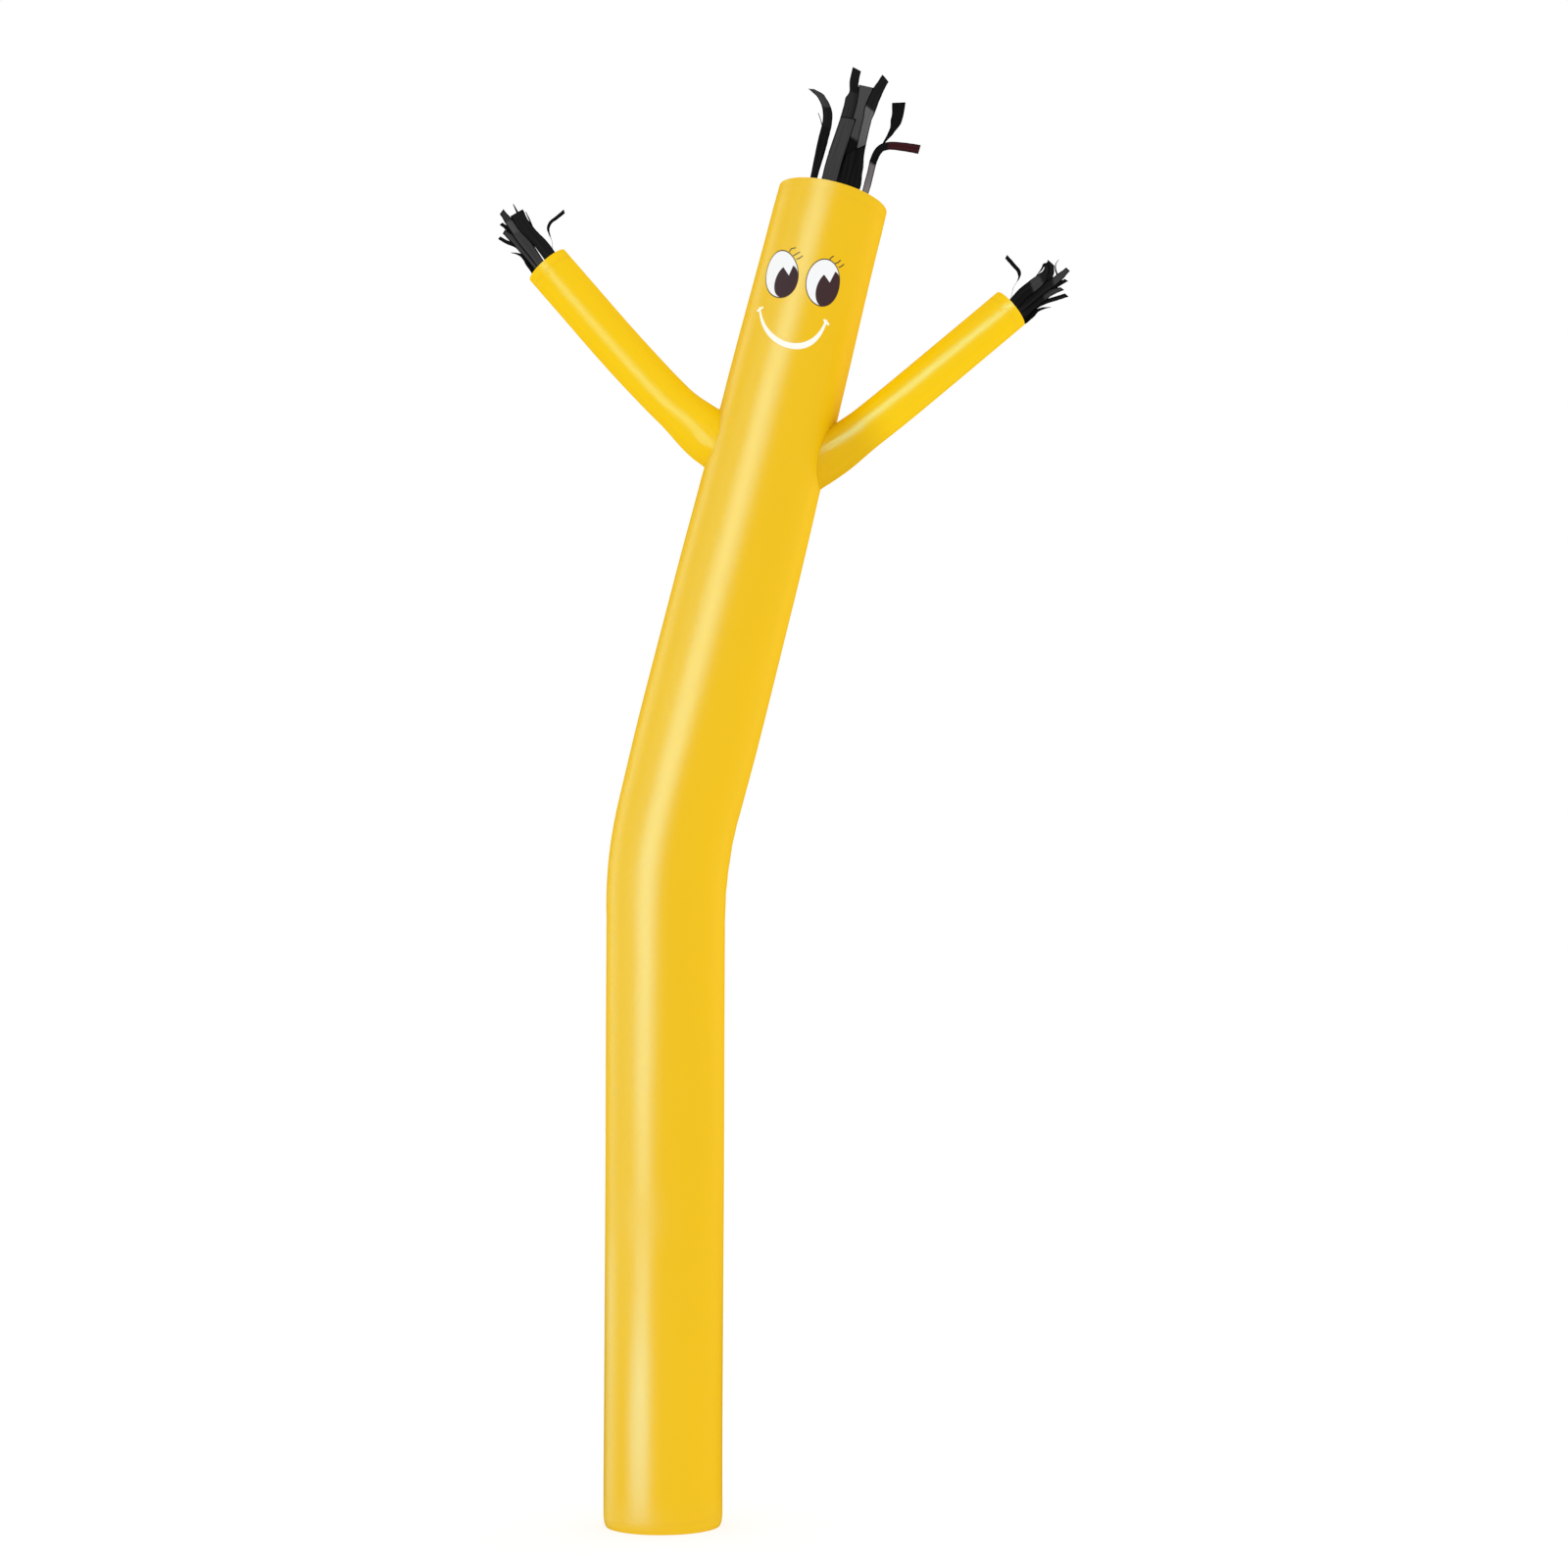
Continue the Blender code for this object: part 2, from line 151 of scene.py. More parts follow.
Ribbon = namedtuple("Ribbon", "turn twist slant path widths dyes", defaults=(((0, BLACK),),))
HEAD_RIBBONS = (
    Ribbon(
        -168, 8, -0.25,  # tall left
        ((-22, 108, 78), (-19, 101, 146), (-13, 93, 221), (-15, 87, 279), (-23, 84, 302), (-25, 81, 338)),
        ((0, 28), (0.4, 36), (0.6, 44), (0.79, 44), (0.87, 21), (1, 20.3)),
        ((0, CHARCOAL), (0.50, SMOKE), (0.84, CHARCOAL)),
    ),
    Ribbon(
        175, -6, -0.10,  # middle
        ((11, 105, 81), (12, 94, 151), (10, 83, 220), (10, 77, 261), (6, 71, 300)),
        ((0, 32), (0.6, 36), (1, 34)), ((0, BLACK), (0.60, ASH)),
    ),
    Ribbon(
        23, 10, -0.35,  # right tall
        ((38, -96, 87), (35, -85, 155), (36, -78, 203), (42, -71, 243), (51, -66, 276)),
        ((0, 24), (0.35, 20), (0.6, 20), (0.71, 26), (0.8, 25), (1, 20)),
        ((0, BLACK), (0.34, SILVER), (0.70, CHARCOAL)),
    ),
    Ribbon(
        15, -8, 0.75,  # front dark
        ((30, -110, 48), (29, -105, 90)),
        ((0, 57), (0.5, 49), (1, 36)),
    ),
    Ribbon(
        -5, 4, 0.15,  # front grey
        ((-10, -114, 59), (-7, -111, 106), (-4, -107, 154)),
        ((0, 35), (0.5, 35), (1, 34)), ((0, GREY),),
    ),
    Ribbon(
        -22, 0, -1.70,  # left curl
        ((-46, -103, 52), (-47, -96, 102), (-48, -91, 139), (-52, -88, 159), (-63, -85, 180),
         (-80, -82, 198), (-101, -81, 207)),
        ((0, 17), (0.45, 22), (0.68, 21), (0.85, 16), (1, 6.8)), ((0, BLACK), (0.55, CHARCOAL), (0.76, GREY)),
    ),
    Ribbon(
        -153, 30, 0.90,  # left sliver
        ((-56, 101, 69), (-59, 96, 134), (-64, 93, 178), (-76, 91, 205), (-86, 90, 221)),
        ((0, 1), (0.8, 1.6), (1, 1)), ((0, SILVER),),
    ),
    Ribbon(
        36, 0, -0.10,  # bent
        ((71, -89, 49), (71, -84, 85), (74, -81, 102), (80, -80, 114), (93, -78, 123), (123, -77, 129),
         (162, -77, 132)),
        ((0, 17), (0.25, 15), (0.5, 17), (1, 21)), ((0, LILAC), (0.36, BLACK), (0.66, OXBLOOD)),
    ),
    Ribbon(
        151, 20, 0.22,  # right twist
        ((59, 96, 74), (62, 88, 147), (70, 86, 173), (78, 83, 195), (84, 82, 210), (88, 80, 226),
         (90, 77, 251), (86, 74, 282)),
        ((0, 3), (0.62, 2.5), (0.69, 6), (0.76, 12.5), (0.865, 26), (1, 32)),
    ),
)
LEFT_HAND_RIBBONS = (
    Ribbon(
        14, 6, 0.10,  # wide dark
        ((14, -40, 40), (13, -37, 69), (14, -33, 100), (20, -30, 127)),
        ((0, 30), (0.5, 27), (0.8, 30), (1, 32)), ((0, CHARCOAL),),
    ),
    Ribbon(
        -19, -6, 0.30,  # top grey
        ((-12, -40, 33), (-9, -35, 73), (-6, -30, 114), (-3, -26, 151)),
        ((0, 20), (0.5, 25), (0.75, 19), (1, 13)), ((0, GREY), (0.62, ASH), (0.82, SMOKE)),
    ),
    Ribbon(
        -168, 8, -0.30,  # second
        ((-10, 43, 20), (-8, 38, 63), (-8, 33, 104), (-10, 30, 127), (-14, 28, 146)),
        ((0, 14), (0.6, 16), (1, 8)),
    ),
    Ribbon(
        -32, 5, 0.20,  # third
        ((-23, -36, 30), (-22, -31, 65), (-24, -28, 91), (-28, -25, 114)),
        ((0, 16), (0.5, 20), (0.8, 16), (1, 10)), ((0, GREY),),
    ),
    Ribbon(
        -40, 0, -0.20,  # thin dark
        ((-27, -33, 24), (-25, -30, 49), (-28, -27, 72), (-38, -25, 92), (-44, -22, 111)),
        ((0, 12), (0.4, 10), (1, 7.5)),
    ),
    Ribbon(
        -148, -8, 0.90,  # wedge
        ((-24, 35, 36), (-24, 33, 52), (-28, 31, 68), (-39, 30, 82)),
        ((0, 18), (0.45, 16), (0.75, 6), (1, 1.5)),
    ),
    Ribbon(
        150, 0, -0.45,  # right hook
        ((30, 38, 21), (48, 35, 47), (53, 33, 61), (59, 32, 72), (70, 31, 78), (89, 31, 78), (111, 31, 78)),
        ((0, 0.6), (0.42, 0.8), (0.52, 3.5), (0.62, 6.5), (1, 8.6)),
    ),
    Ribbon(
        149, 40, 0.80,  # right sliver
        ((25, 37, 28), (30, 32, 66), (34, 29, 94), (40, 26, 115), (44, 24, 130)),
        ((0, 2.5), (0.6, 2.5), (0.85, 2.5), (1, 1)), ((0, ASH),),
    ),
    Ribbon(
        160, 40, 0.80,  # tip sliver
        ((16, 41, 25), (17, 35, 70), (23, 30, 114), (29, 27, 140), (34, 24, 161)),
        ((0, 4), (0.6, 5), (0.9, 4.5), (1, 2)), ((0, ASH),),
    ),
)
RIGHT_HAND_RIBBONS = (
    Ribbon(
        5, -6, 0.35,  # top dark
        ((-1, -39, 35), (-1, -35, 66), (-3, -32, 94), (-10, -29, 112), (-23, -28, 121)),
        ((0, 27), (0.55, 28), (0.7, 25), (0.84, 14), (1, 8)), ((0, BLACK), (0.47, GREY), (0.68, CHARCOAL)),
    ),
    Ribbon(
        26, 6, 0.05,  # second
        ((18, -34, 38), (17, -29, 78), (20, -26, 109), (18, -20, 151)),
        ((0, 20), (0.5, 22), (0.8, 17), (1, 11.5)), ((0, CHARCOAL), (0.70, GREY)),
    ),
    Ribbon(
        -178, 0, 0.80,  # horn
        ((0, 39, 37), (4, 33, 81), (6, 29, 117), (5, 26, 137), (-6, 26, 142), (-16, 25, 151), (-19, 23, 162)),
        ((0, 5), (0.6, 7), (0.85, 3.5), (1, 1)),
    ),
    Ribbon(
        165, 8, 0.60,  # fourth
        ((12, 39, 22), (14, 34, 60), (17, 30, 95), (22, 26, 125), (27, 24, 145)),
        ((0, 16), (0.6, 16), (1, 8)),
    ),
    Ribbon(
        46, -5, 0.60,  # fifth
        ((30, -26, 36), (30, -22, 67), (34, -18, 94), (42, -16, 114)),
        ((0, 20), (0.5, 20), (0.8, 15), (1, 9)), ((0, CHARCOAL), (0.60, GREY)),
    ),
    Ribbon(
        59, 0, 0.55,  # sixth
        ((35, -19, 29), (36, -16, 50), (41, -13, 70), (49, -11, 90), (58, -8, 114)),
        ((0, 14), (0.4, 10), (1, 9.5)),
    ),
    Ribbon(
        128, 8, -0.90,  # wedge
        ((37, 23, 31), (37, 21, 46), (42, 19, 61), (52, 17, 76)),
        ((0, 15), (0.45, 13), (0.7, 6), (1, 1.5)),
    ),
    Ribbon(
        -162, 0, 0.35,  # left hook
        ((-22, 38, 24), (-40, 35, 52), (-43, 33, 63), (-48, 32, 73), (-54, 31, 78), (-77, 31, 80),
         (-101, 31, 80)),
        ((0, 0.6), (0.5, 0.8), (0.58, 4), (0.66, 8.4), (1, 8.6)),
    ),
    Ribbon(
        -162, 0, 0.30,  # top sliver
        ((-13, 38, 23), (-12, 34, 60), (-12, 30, 90), (-19, 27, 116), (-28, 25, 132), (-32, 25, 132),
         (-28, 26, 122), (-26, 27, 112), (-25, 28, 103)),
        ((0, 3), (0.5, 5), (0.66, 5), (0.8, 5.5), (0.9, 4), (1, 0.8)),
    ),
    Ribbon(
        179, 4, -0.55,  # top mate
        ((1, 40, 23), (-1, 34, 57), (-1, 29, 88), (-4, 25, 116), (-24, 20, 144)),
        ((0, 14), (0.6, 18), (0.85, 21), (1, 17)), ((0, BLACK), (0.70, CHARCOAL)),
    ),
)
HAND_RIBBONS = {"left": LEFT_HAND_RIBBONS, "right": RIGHT_HAND_RIBBONS}

YELLOW = (0.920, 0.553, 0.002, 1.0)
ARM_YELLOW = (0.985, 0.620, 0.000, 1.0)
PALE_YELLOW = (0.945, 0.600, 0.018, 1.0)
DEEP_YELLOW = (0.850, 0.500, 0.001, 1.0)
ARM_SHADE = (0.920, 0.565, 0.001, 1.0)
WHITE = (1.0, 1.0, 1.0, 1.0)
SHINE = (0.05, 0.76, 1.00, 1.0)
ARM_SHINE = (0.05, 1.00, 0.88, 1.0)
# Painted shade near the right arm's root, where it meets the body.
ROOT_PAINTED_SHADE = (0.800, 0.462, 0.001, 1.0)
PALE_ARM = (0.990, 0.650, 0.002, 1.0)
INK_WHITE = (0.930, 0.925, 0.930, 1.0)
SMILE_WHITE = (1.000, 0.985, 0.880, 1.0)
INK_DARK = (0.060, 0.020, 0.018, 1.0)
LINE_DARK = (0.045, 0.030, 0.022, 1.0)
FLOOR_WHITE = (0.350, 0.350, 0.350, 1.0)
CLOTH_GLOW = (0.95, 0.56, 0.02)
EDGE_SHINE = (0.22, 0.84, 0.96)
COOL_LIGHT = (0.70, 0.98, 1.0)


def eased(value):
    """0 to 1 with a soft start and end."""
    value = min(max(value, 0.0), 1.0)
    return value * value * (3 - 2 * value)


def bump(distance, reach):
    """1 at no distance, easing to 0 at reach."""
    return 1 - eased(abs(distance) / reach)


# ---- centrelines and girths


def frame_at(point, along):
    """A tube's frame: Z along it, Y to the back, X to the right as seen from the front."""
    along = along.normalized()
    right = Vector((0, 1, 0)).cross(along).normalized()
    back = along.cross(right)
    place = Matrix((right, back, along)).transposed().to_4x4()
    place.translation = point
    return place


def body_frame(along):
    bent = min(max(along - STEM_HEIGHT, 0.0), BEND_LENGTH)
    angle = bent / BEND_RADIUS
    point = Vector((BEND_RADIUS * (1 - math.cos(angle)), 0, min(along, STEM_HEIGHT)))
    point.z += BEND_RADIUS * math.sin(angle)
    direction = Vector((math.sin(angle), 0, math.cos(angle)))
    point += direction * max(along - STEM_HEIGHT - BEND_LENGTH, 0.0)
    return frame_at(point, direction)


def body_radius(along):
    for low, high in zip(BODY_GIRTHS, BODY_GIRTHS[1:]):
        if along <= high.along:
            share = eased((along - low.along) / (high.along - low.along))
            return (low.diameter + (high.diameter - low.diameter) * share) / 2
    return BODY_GIRTHS[-1].diameter / 2


def arm_direction(arm, along):
    along = min(max(along, 0.0), arm.length - HAND_HEM)
    root_share = math.exp(-along / arm.ease)
    lift = math.radians(arm.lift_hand + (arm.lift_root - arm.lift_hand) * root_share)
    front = math.radians(arm.front_hand + (arm.front_root - arm.front_hand) * root_share)
    level = math.cos(lift)
    return Vector((arm.side * level * math.cos(front), -level * math.sin(front), math.sin(lift)))


def arm_root(arm):
    turn = math.radians(arm.front_root)
    out = Vector((arm.side * math.cos(turn), -math.sin(turn), 0))
    return body_frame(arm.root_along) @ (out * body_radius(arm.root_along))


def arm_frame(arm, along):
    """Walks from the root in small steps, and into the body for a distance below 0."""
    steps = math.ceil(abs(along) / ARM_WALK) or 1
    step = along / steps
    point = arm_root(arm)
    for i in range(steps):
        point = point + arm_direction(arm, step * (i + 0.5)) * step
    return frame_at(point, arm_direction(arm, along))


def arm_radius(arm, along):
    flare = 1 - eased(along / ROOT_FLARE)
    return (arm.girth + (arm.root_girth - arm.girth) * flare) / 2


def round_tube(turn):
    """The way out from a tube's middle, in the tube's own frame."""
    return Vector((math.sin(turn), -math.cos(turn), 0))


def turned_from(turn, other):
    """The shorter way round from one turn to another."""
    return (turn - other + math.pi) % math.tau - math.pi


# ---- finishes


def operator(operation, reflected=False):
    """A method of Reading that adds a Math node. Reflected, the reading is its second value."""

    def method(reading, other=0.0):
        values = (other, reading) if reflected else (reading, other)
        return reading.maths(operation, *values)

    return method


class Reading:
    """An output of a finish's nodes. Arithmetic on it adds the Math nodes."""

    def __init__(self, finish, output):
        self.finish, self.output = finish, output

    def maths(self, operation, first, second=0.0):
        return self.finish.node("ShaderNodeMath", {"operation": operation}, {0: first, 1: second})

    __add__ = __radd__ = operator("ADD")
    __mul__ = __rmul__ = operator("MULTIPLY")
    __sub__, __rsub__ = operator("SUBTRACT"), operator("SUBTRACT", reflected=True)
    __truediv__, __rtruediv__ = operator("DIVIDE"), operator("DIVIDE", reflected=True)
    __pow__, __rpow__ = operator("POWER"), operator("POWER", reflected=True)
    __abs__ = operator("ABSOLUTE")


class Finish:
    """A cloth's, ink's or thread's material."""

    def __init__(self, name, roughness, specular=0.5, tint=WHITE):
        self.material = bpy.data.materials.new(name)
        self.material.use_nodes = True
        tree = self.material.node_tree
        self.nodes, self.links = tree.nodes, tree.links
        self.shader = self.nodes["Principled BSDF"]
        self.shader.inputs["Roughness"].default_value = roughness
        self.shader.inputs["Specular IOR Level"].default_value = specular
        self.shader.inputs["Specular Tint"].default_value = tint

    def node(self, kind, settings=None, inputs=None, output=0):
        node = self.nodes.new(kind)
        for setting, value in (settings or {}).items():
            setattr(node, setting, value)
        for socket, value in (inputs or {}).items():
            self.feed(node.inputs[socket], value)
        return Reading(self, node.outputs[output])

    def feed(self, socket, value):
        if isinstance(value, Reading):
            self.links.new(value.output, socket)
        else:
            socket.default_value = value

    def wear(self, **sockets):
        """Gives the shader what changes over the surface."""
        for socket, value in sockets.items():
            self.feed(self.shader.inputs[socket.replace("_", " ").title()], value)

    def mix(self, share, first, second):
        return self.node("ShaderNodeMix", {"data_type": "RGBA"}, {0: share, 6: first, 7: second}, output=2)

    def soft(self, value, low, high, to_low=0.0, to_high=1.0):
        """to_low up to low, to_high from high, and a soft change between them."""
        inputs = {"Value": value, "From Min": low, "From Max": high, "To Min": to_low, "To Max": to_high}
        return self.node("ShaderNodeMapRange", {"interpolation_type": "SMOOTHSTEP"}, inputs)

    def cloth_place(self):
        """Metres round the tube, or across a ribbon, and metres along it."""
        laid = self.node("ShaderNodeUVMap", {"uv_map": "cloth"})
        return tuple(self.node("ShaderNodeSeparateXYZ", {}, {0: laid}, output=i) for i in (0, 1))

    def cloud(self, across, along, scale_across, scale_along, detail=2.0):
        """Soft noise, from 0 to 1, stretched as the two scales say."""
        place = self.node("ShaderNodeCombineXYZ", {}, {0: across * scale_across, 1: along * scale_along})
        return self.node("ShaderNodeTexNoise", {}, {"Vector": place, "Scale": 1.0, "Detail": detail})

    def raised(self, height, distance):
        return self.node("ShaderNodeBump", {}, {"Height": height, "Distance": distance, "Strength": 1.0})

    def wave(self, value, pitch):
        return value.maths("SINE", value * (math.tau / pitch))

    def oval(self, across, along, centre, half_width, half_height, lean):
        """0 at the oval's centre and 1 on its line. lean tips its top to the right, in degrees."""
        turn = math.radians(lean)
        right, up = across - centre[0], along - centre[1]
        x = (right * math.cos(turn) - up * math.sin(turn)) / half_width
        y = (right * math.sin(turn) + up * math.cos(turn)) / half_height
        return (x * x + y * y) ** 0.5

    def stroke(self, across, along, start, end, half_width):
        """1 on a round-ended pen stroke and 0 off it."""
        run, rise = end[0] - start[0], end[1] - start[1]
        length = run * run + rise * rise
        right, up = across - start[0], along - start[1]
        share = self.node("ShaderNodeClamp", {}, {0: (right * run + up * rise) / length, 1: 0.0, 2: 1.0})
        x, y = right - share * run, up - share * rise
        return self.soft((x * x + y * y) ** 0.5, half_width * 1.15, half_width * 0.75)

    def both(self, first, second):
        return first.maths("MINIMUM", first, second)

    def either(self, first, second):
        return first.maths("MAXIMUM", first, second)


# ---- cloth tubes


def in_scene(name, mesh, finish):
    thing = bpy.data.objects.new(name, mesh)
    mesh.materials.append(finish.material)
    mesh.shade_smooth()
    bpy.context.scene.collection.objects.link(thing)
    return thing


def lay_map(mesh, name, corners):
    layer = mesh.uv_layers.new(name=name)
    layer.uv.foreach_set("vector", [number for corner in corners for number in corner])


def tube_skin(name, finish, rings, columns, surface, arc, bake=None):
    """A closed shell of cloth round a tube: the outside, the lining side and the two cut edges.

    rings are distances along the tube. surface(along, turn) gives the outside's point and the way in,
    and arc(along, turn) the place on the flat cloth. bake lays out the second map, OFBake.
    """
    turns = [math.tau * (column / columns - 0.5) for column in range(columns + 1)]
    outside, lining = [], []
    for along in rings:
        for turn in turns[:-1]:
            point, inwards = surface(along, turn)
            outside.append(point)
            lining.append(point + inwards * SKIN)
    mesh = bpy.data.meshes.new(name)
    faces, corners, baked = [], [], []
    inner = len(outside)

    def vertex(ring, column, lined):
        return ring * columns + column % columns + (inner if lined else 0)

    def add(quad, side):
        faces.append([vertex(*corner) for corner in quad])
        for ring, column, _ in quad:
            corners.append(arc(rings[ring], turns[column]))
            if bake:
                baked.append(bake(quad, ring, column, side))

    for ring in range(len(rings) - 1):
        for column in range(columns):
            quad = [(ring, column), (ring, column + 1), (ring + 1, column + 1), (ring + 1, column)]
            add([(*corner, False) for corner in quad], "outside")
            add([(*corner, True) for corner in reversed(quad)], "lining")
    last = len(rings) - 1
    for here in range(columns):
        there = here + 1
        add([(0, here, True), (0, there, True), (0, there, False), (0, here, False)], "foot")
        add([(last, here, False), (last, there, False), (last, there, True), (last, here, True)], "rim")
    mesh.from_pydata(outside + lining, [], faces)
    lay_map(mesh, "cloth", corners)
    if bake:
        lay_map(mesh, "OFBake", baked)
    mesh.validate()
    return in_scene(name, mesh, finish)


def spaced(start, end, step):
    """Even places from start, about a step apart, without the end."""
    count = max(1, math.ceil((end - start) / step))
    return [start + (end - start) * i / count for i in range(count)]


def body_rings():
    """Closer together at the hems, at the bend and at the arms' roots."""
    bend_from, bend_to = STEM_HEIGHT - 0.060, STEM_HEIGHT + BEND_LENGTH + 0.060
    stops = (
        (0.0, 0.050, HEM_RING_STEP),
        (0.050, bend_from, BODY_RING_STEP * 1.3),
        (bend_from, bend_to, BODY_RING_STEP * 0.8),
        (bend_to, 2.200, BODY_RING_STEP * 1.3),
        (2.200, 2.480, BODY_RING_STEP * 0.6),
        (2.480, BODY_LENGTH - 0.070, BODY_RING_STEP),
        (BODY_LENGTH - 0.070, BODY_LENGTH, HEM_RING_STEP),
    )
    return [place for start, end, step in stops for place in spaced(start, end, step)] + [BODY_LENGTH]


# How high the cloth's unevenness, its doubled seams, the dents at its hems and its tucks are, in metres.
BODY_DRIFT = 0.0009
ARM_DRIFT = 0.0007
BACK_SEAM = 0.0006
SLEEVE_SEAM = 0.0005
ROOT_SEAM = 0.0003
HEM_DENT = 0.0002
HAND_DENT = 0.0004
BODY_TUCK = 0.0004
ROOT_GATHER = 0.0005

# Soft troughs where the bend's inner side is short of room. Turns are in degrees.
Trough = namedtuple("Trough", "along turn depth reach round_reach")
BEND_TROUGHS = (
    Trough(1.262, 82, 0.0005, 0.026, 58),
    Trough(1.334, 97, 0.0008, 0.022, 74),
    Trough(1.392, 84, 0.0006, 0.026, 52),
    Trough(1.448, 101, 0.0007, 0.024, 66),
    Trough(1.521, 90, 0.0004, 0.030, 48),
    Trough(1.268, -92, 0.0006, 0.022, 46),
)


def drift(turn, along, round_scale, along_scale, seed=0.0):
    """Soft unevenness, from -1 to 1, that closes on itself round a tube."""
    x, y = math.sin(turn) * round_scale + seed, math.cos(turn) * round_scale
    return noise.noise(Vector((x, y, along * along_scale)))


def gathers(turn, count, sway, sways):
    """Uneven gathers round a hem, from 0.2 to 1.8."""
    return 1 + 0.8 * math.sin(turn * count + sway * math.sin(turn * sways))


def body_relief(along, turn):
    """How far the cloth stands off the plain tube, in metres, outwards."""
    from_end = min(along, BODY_LENGTH - along)
    relief = drift(turn, along, 1.3, 2.1) * BODY_DRIFT * eased(from_end / 0.12)
    for trough in BEND_TROUGHS:
        away = math.degrees(turned_from(turn, math.radians(trough.turn)))
        sway = 0.010 * math.sin(math.radians(away) * 1.7 + trough.along * 40)
        off_line = along - trough.along - sway
        relief -= trough.depth * bump(off_line, trough.reach) * bump(away, trough.round_reach)
    from_back = abs(turned_from(turn, math.pi)) * body_radius(along)
    relief += BACK_SEAM * bump(max(from_back - 0.005, 0), 0.006)
    relief -= HEM_DENT * bump(BODY_LENGTH - HEAD_HEM - along, 0.008) * gathers(turn, 46, 1.5, 5)
    relief -= HEM_DENT * bump(along - 0.024, 0.008) * gathers(turn, 43, 1.7, 4)
    return relief + root_pull(along, turn)


def root_pull(along, turn):
    """The small tucks that run out from the arms' seams."""
    pull = 0.0
    for arm in ARMS:
        centre = arm.side * math.radians(90 - arm.front_root)
        round_way = turned_from(turn, centre) * body_radius(along)
        up = along - arm.root_along
        away = math.hypot(round_way, up)
        if away < 0.16:
            fan = math.atan2(up, round_way)
            ripple = math.sin(fan * 17 + 2.0 * math.sin(fan * 3))
            pull += BODY_TUCK * ripple * bump(away - 0.100, 0.030)
    return pull


def body_surface(along, turn):
    """The body's outside, and the way in from it."""
    out = round_tube(turn)
    place = body_frame(along)
    radius = body_radius(along) + body_relief(along, turn)
    return place @ (out * radius), -(place.to_3x3() @ out)


def body_arc(along, turn):
    return turn * body_radius(along), along


# The OFBake map: the head's outside gets the upper half. The rest of the outside is laid out in three
# columns under it, and the lining and the two cut edges in bands along the bottom.
HEAD_PANEL = 0.480
PANEL_EDGE = 0.004
EDGE_BANDS = {"foot": 0.088, "rim": 0.096}


def body_bake(rings):
    """Gives the function that lays out a face's corner on the map."""

    def first_at(height):
        return next(i for i, along in enumerate(rings) if along >= height)

    head_from = first_at(BODY_LENGTH - HEAD_PANEL)
    thirds = [0, *(first_at(rings[head_from] * k / 3) for k in (1, 2)), head_from]

    def bake(quad, ring, column, side):
        across = column / BODY_COLUMNS
        spread = PANEL_EDGE + across * (1 - 2 * PANEL_EDGE)
        low = min(corner[0] for corner in quad)
        if side == "outside" and low >= head_from:
            top = (rings[ring] - rings[head_from]) / (BODY_LENGTH - rings[head_from])
            return spread, 0.500 + top * 0.496
        if side == "outside":
            third = max(k for k in range(3) if low >= thirds[k])
            start, end = rings[thirds[third]], rings[thirds[third + 1]]
            share = (rings[ring] - start) / (end - start)
            return (third + 0.015 + across * 0.970) / 3, 0.110 + share * 0.380
        if side == "lining":
            return spread, 0.004 + rings[ring] / BODY_LENGTH * 0.080
        lined = next(corner[2] for corner in quad if corner[:2] == (ring, column))
        return spread, EDGE_BANDS[side] + (PANEL_EDGE if lined else 0.0)

    return bake


def cut_air_hole(body, arm):
    """Opens the body's cloth under an arm, a little inside the arm's seam."""
    bm = bmesh.new()
    count = AIR_HOLE_COLUMNS
    rings = []
    for along in (-ROOT_INSET, -0.03, 0.0, 0.04, 0.08, ROOT_FLARE):
        place = arm_frame(arm, along)
        radius = arm_radius(arm, along) - SKIN
        rings.append([bm.verts.new(place @ (round_tube(math.tau * i / count) * radius)) for i in range(count)])
    for low, high in zip(rings, rings[1:]):
        for i in range(count):
            bm.faces.new((low[i], low[(i + 1) % count], high[(i + 1) % count], high[i]))
    bm.faces.new(list(reversed(rings[0])))
    bm.faces.new(rings[-1])
    bmesh.ops.recalc_face_normals(bm, faces=bm.faces)
    mesh = bpy.data.meshes.new("air_hole")
    bm.to_mesh(mesh)
    bm.free()
    cutter = bpy.data.objects.new("air_hole", mesh)
    bpy.context.scene.collection.objects.link(cutter)
    hole = body.modifiers.new("air_hole", "BOOLEAN")
    hole.operation = "DIFFERENCE"
    hole.solver = "MANIFOLD"
    hole.object = cutter
    bpy.context.view_layer.objects.active = body
    bpy.ops.object.modifier_apply(modifier="air_hole")
    bpy.data.objects.remove(cutter, do_unlink=True)


def make_body(finish):
    rings = body_rings()
    body = tube_skin("body_skin", finish, rings, BODY_COLUMNS, body_surface, body_arc, body_bake(rings))
    for arm in ARMS:
        cut_air_hole(body, arm)
    body.data.set_sharp_from_angle(angle=SHARP_EDGE)
    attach(body, "root")
    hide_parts("body_tube")
    return body


# ---- arms


def seam_along(arm, turn):
    """How far along the arm its cloth meets the body's, at this turn round the arm."""
    low, high = -ROOT_INSET, ROOT_REACH
    for _ in range(30):
        middle = (low + high) / 2
        if outside_body(arm_frame(arm, middle) @ (round_tube(turn) * arm_radius(arm, middle))):
            high = middle
        else:
            low = middle
    return (low + high) / 2


def outside_body(point):
    """True past the body's cloth, on the straight upper part where the arms are."""
    place = body_frame(STEM_HEIGHT + BEND_LENGTH)
    local = place.inverted() @ point
    along = STEM_HEIGHT + BEND_LENGTH + local.z
    relief = body_relief(along, math.atan2(local.x, -local.y))
    return math.hypot(local.x, local.y) > body_radius(along) + relief - SEAM_SINK


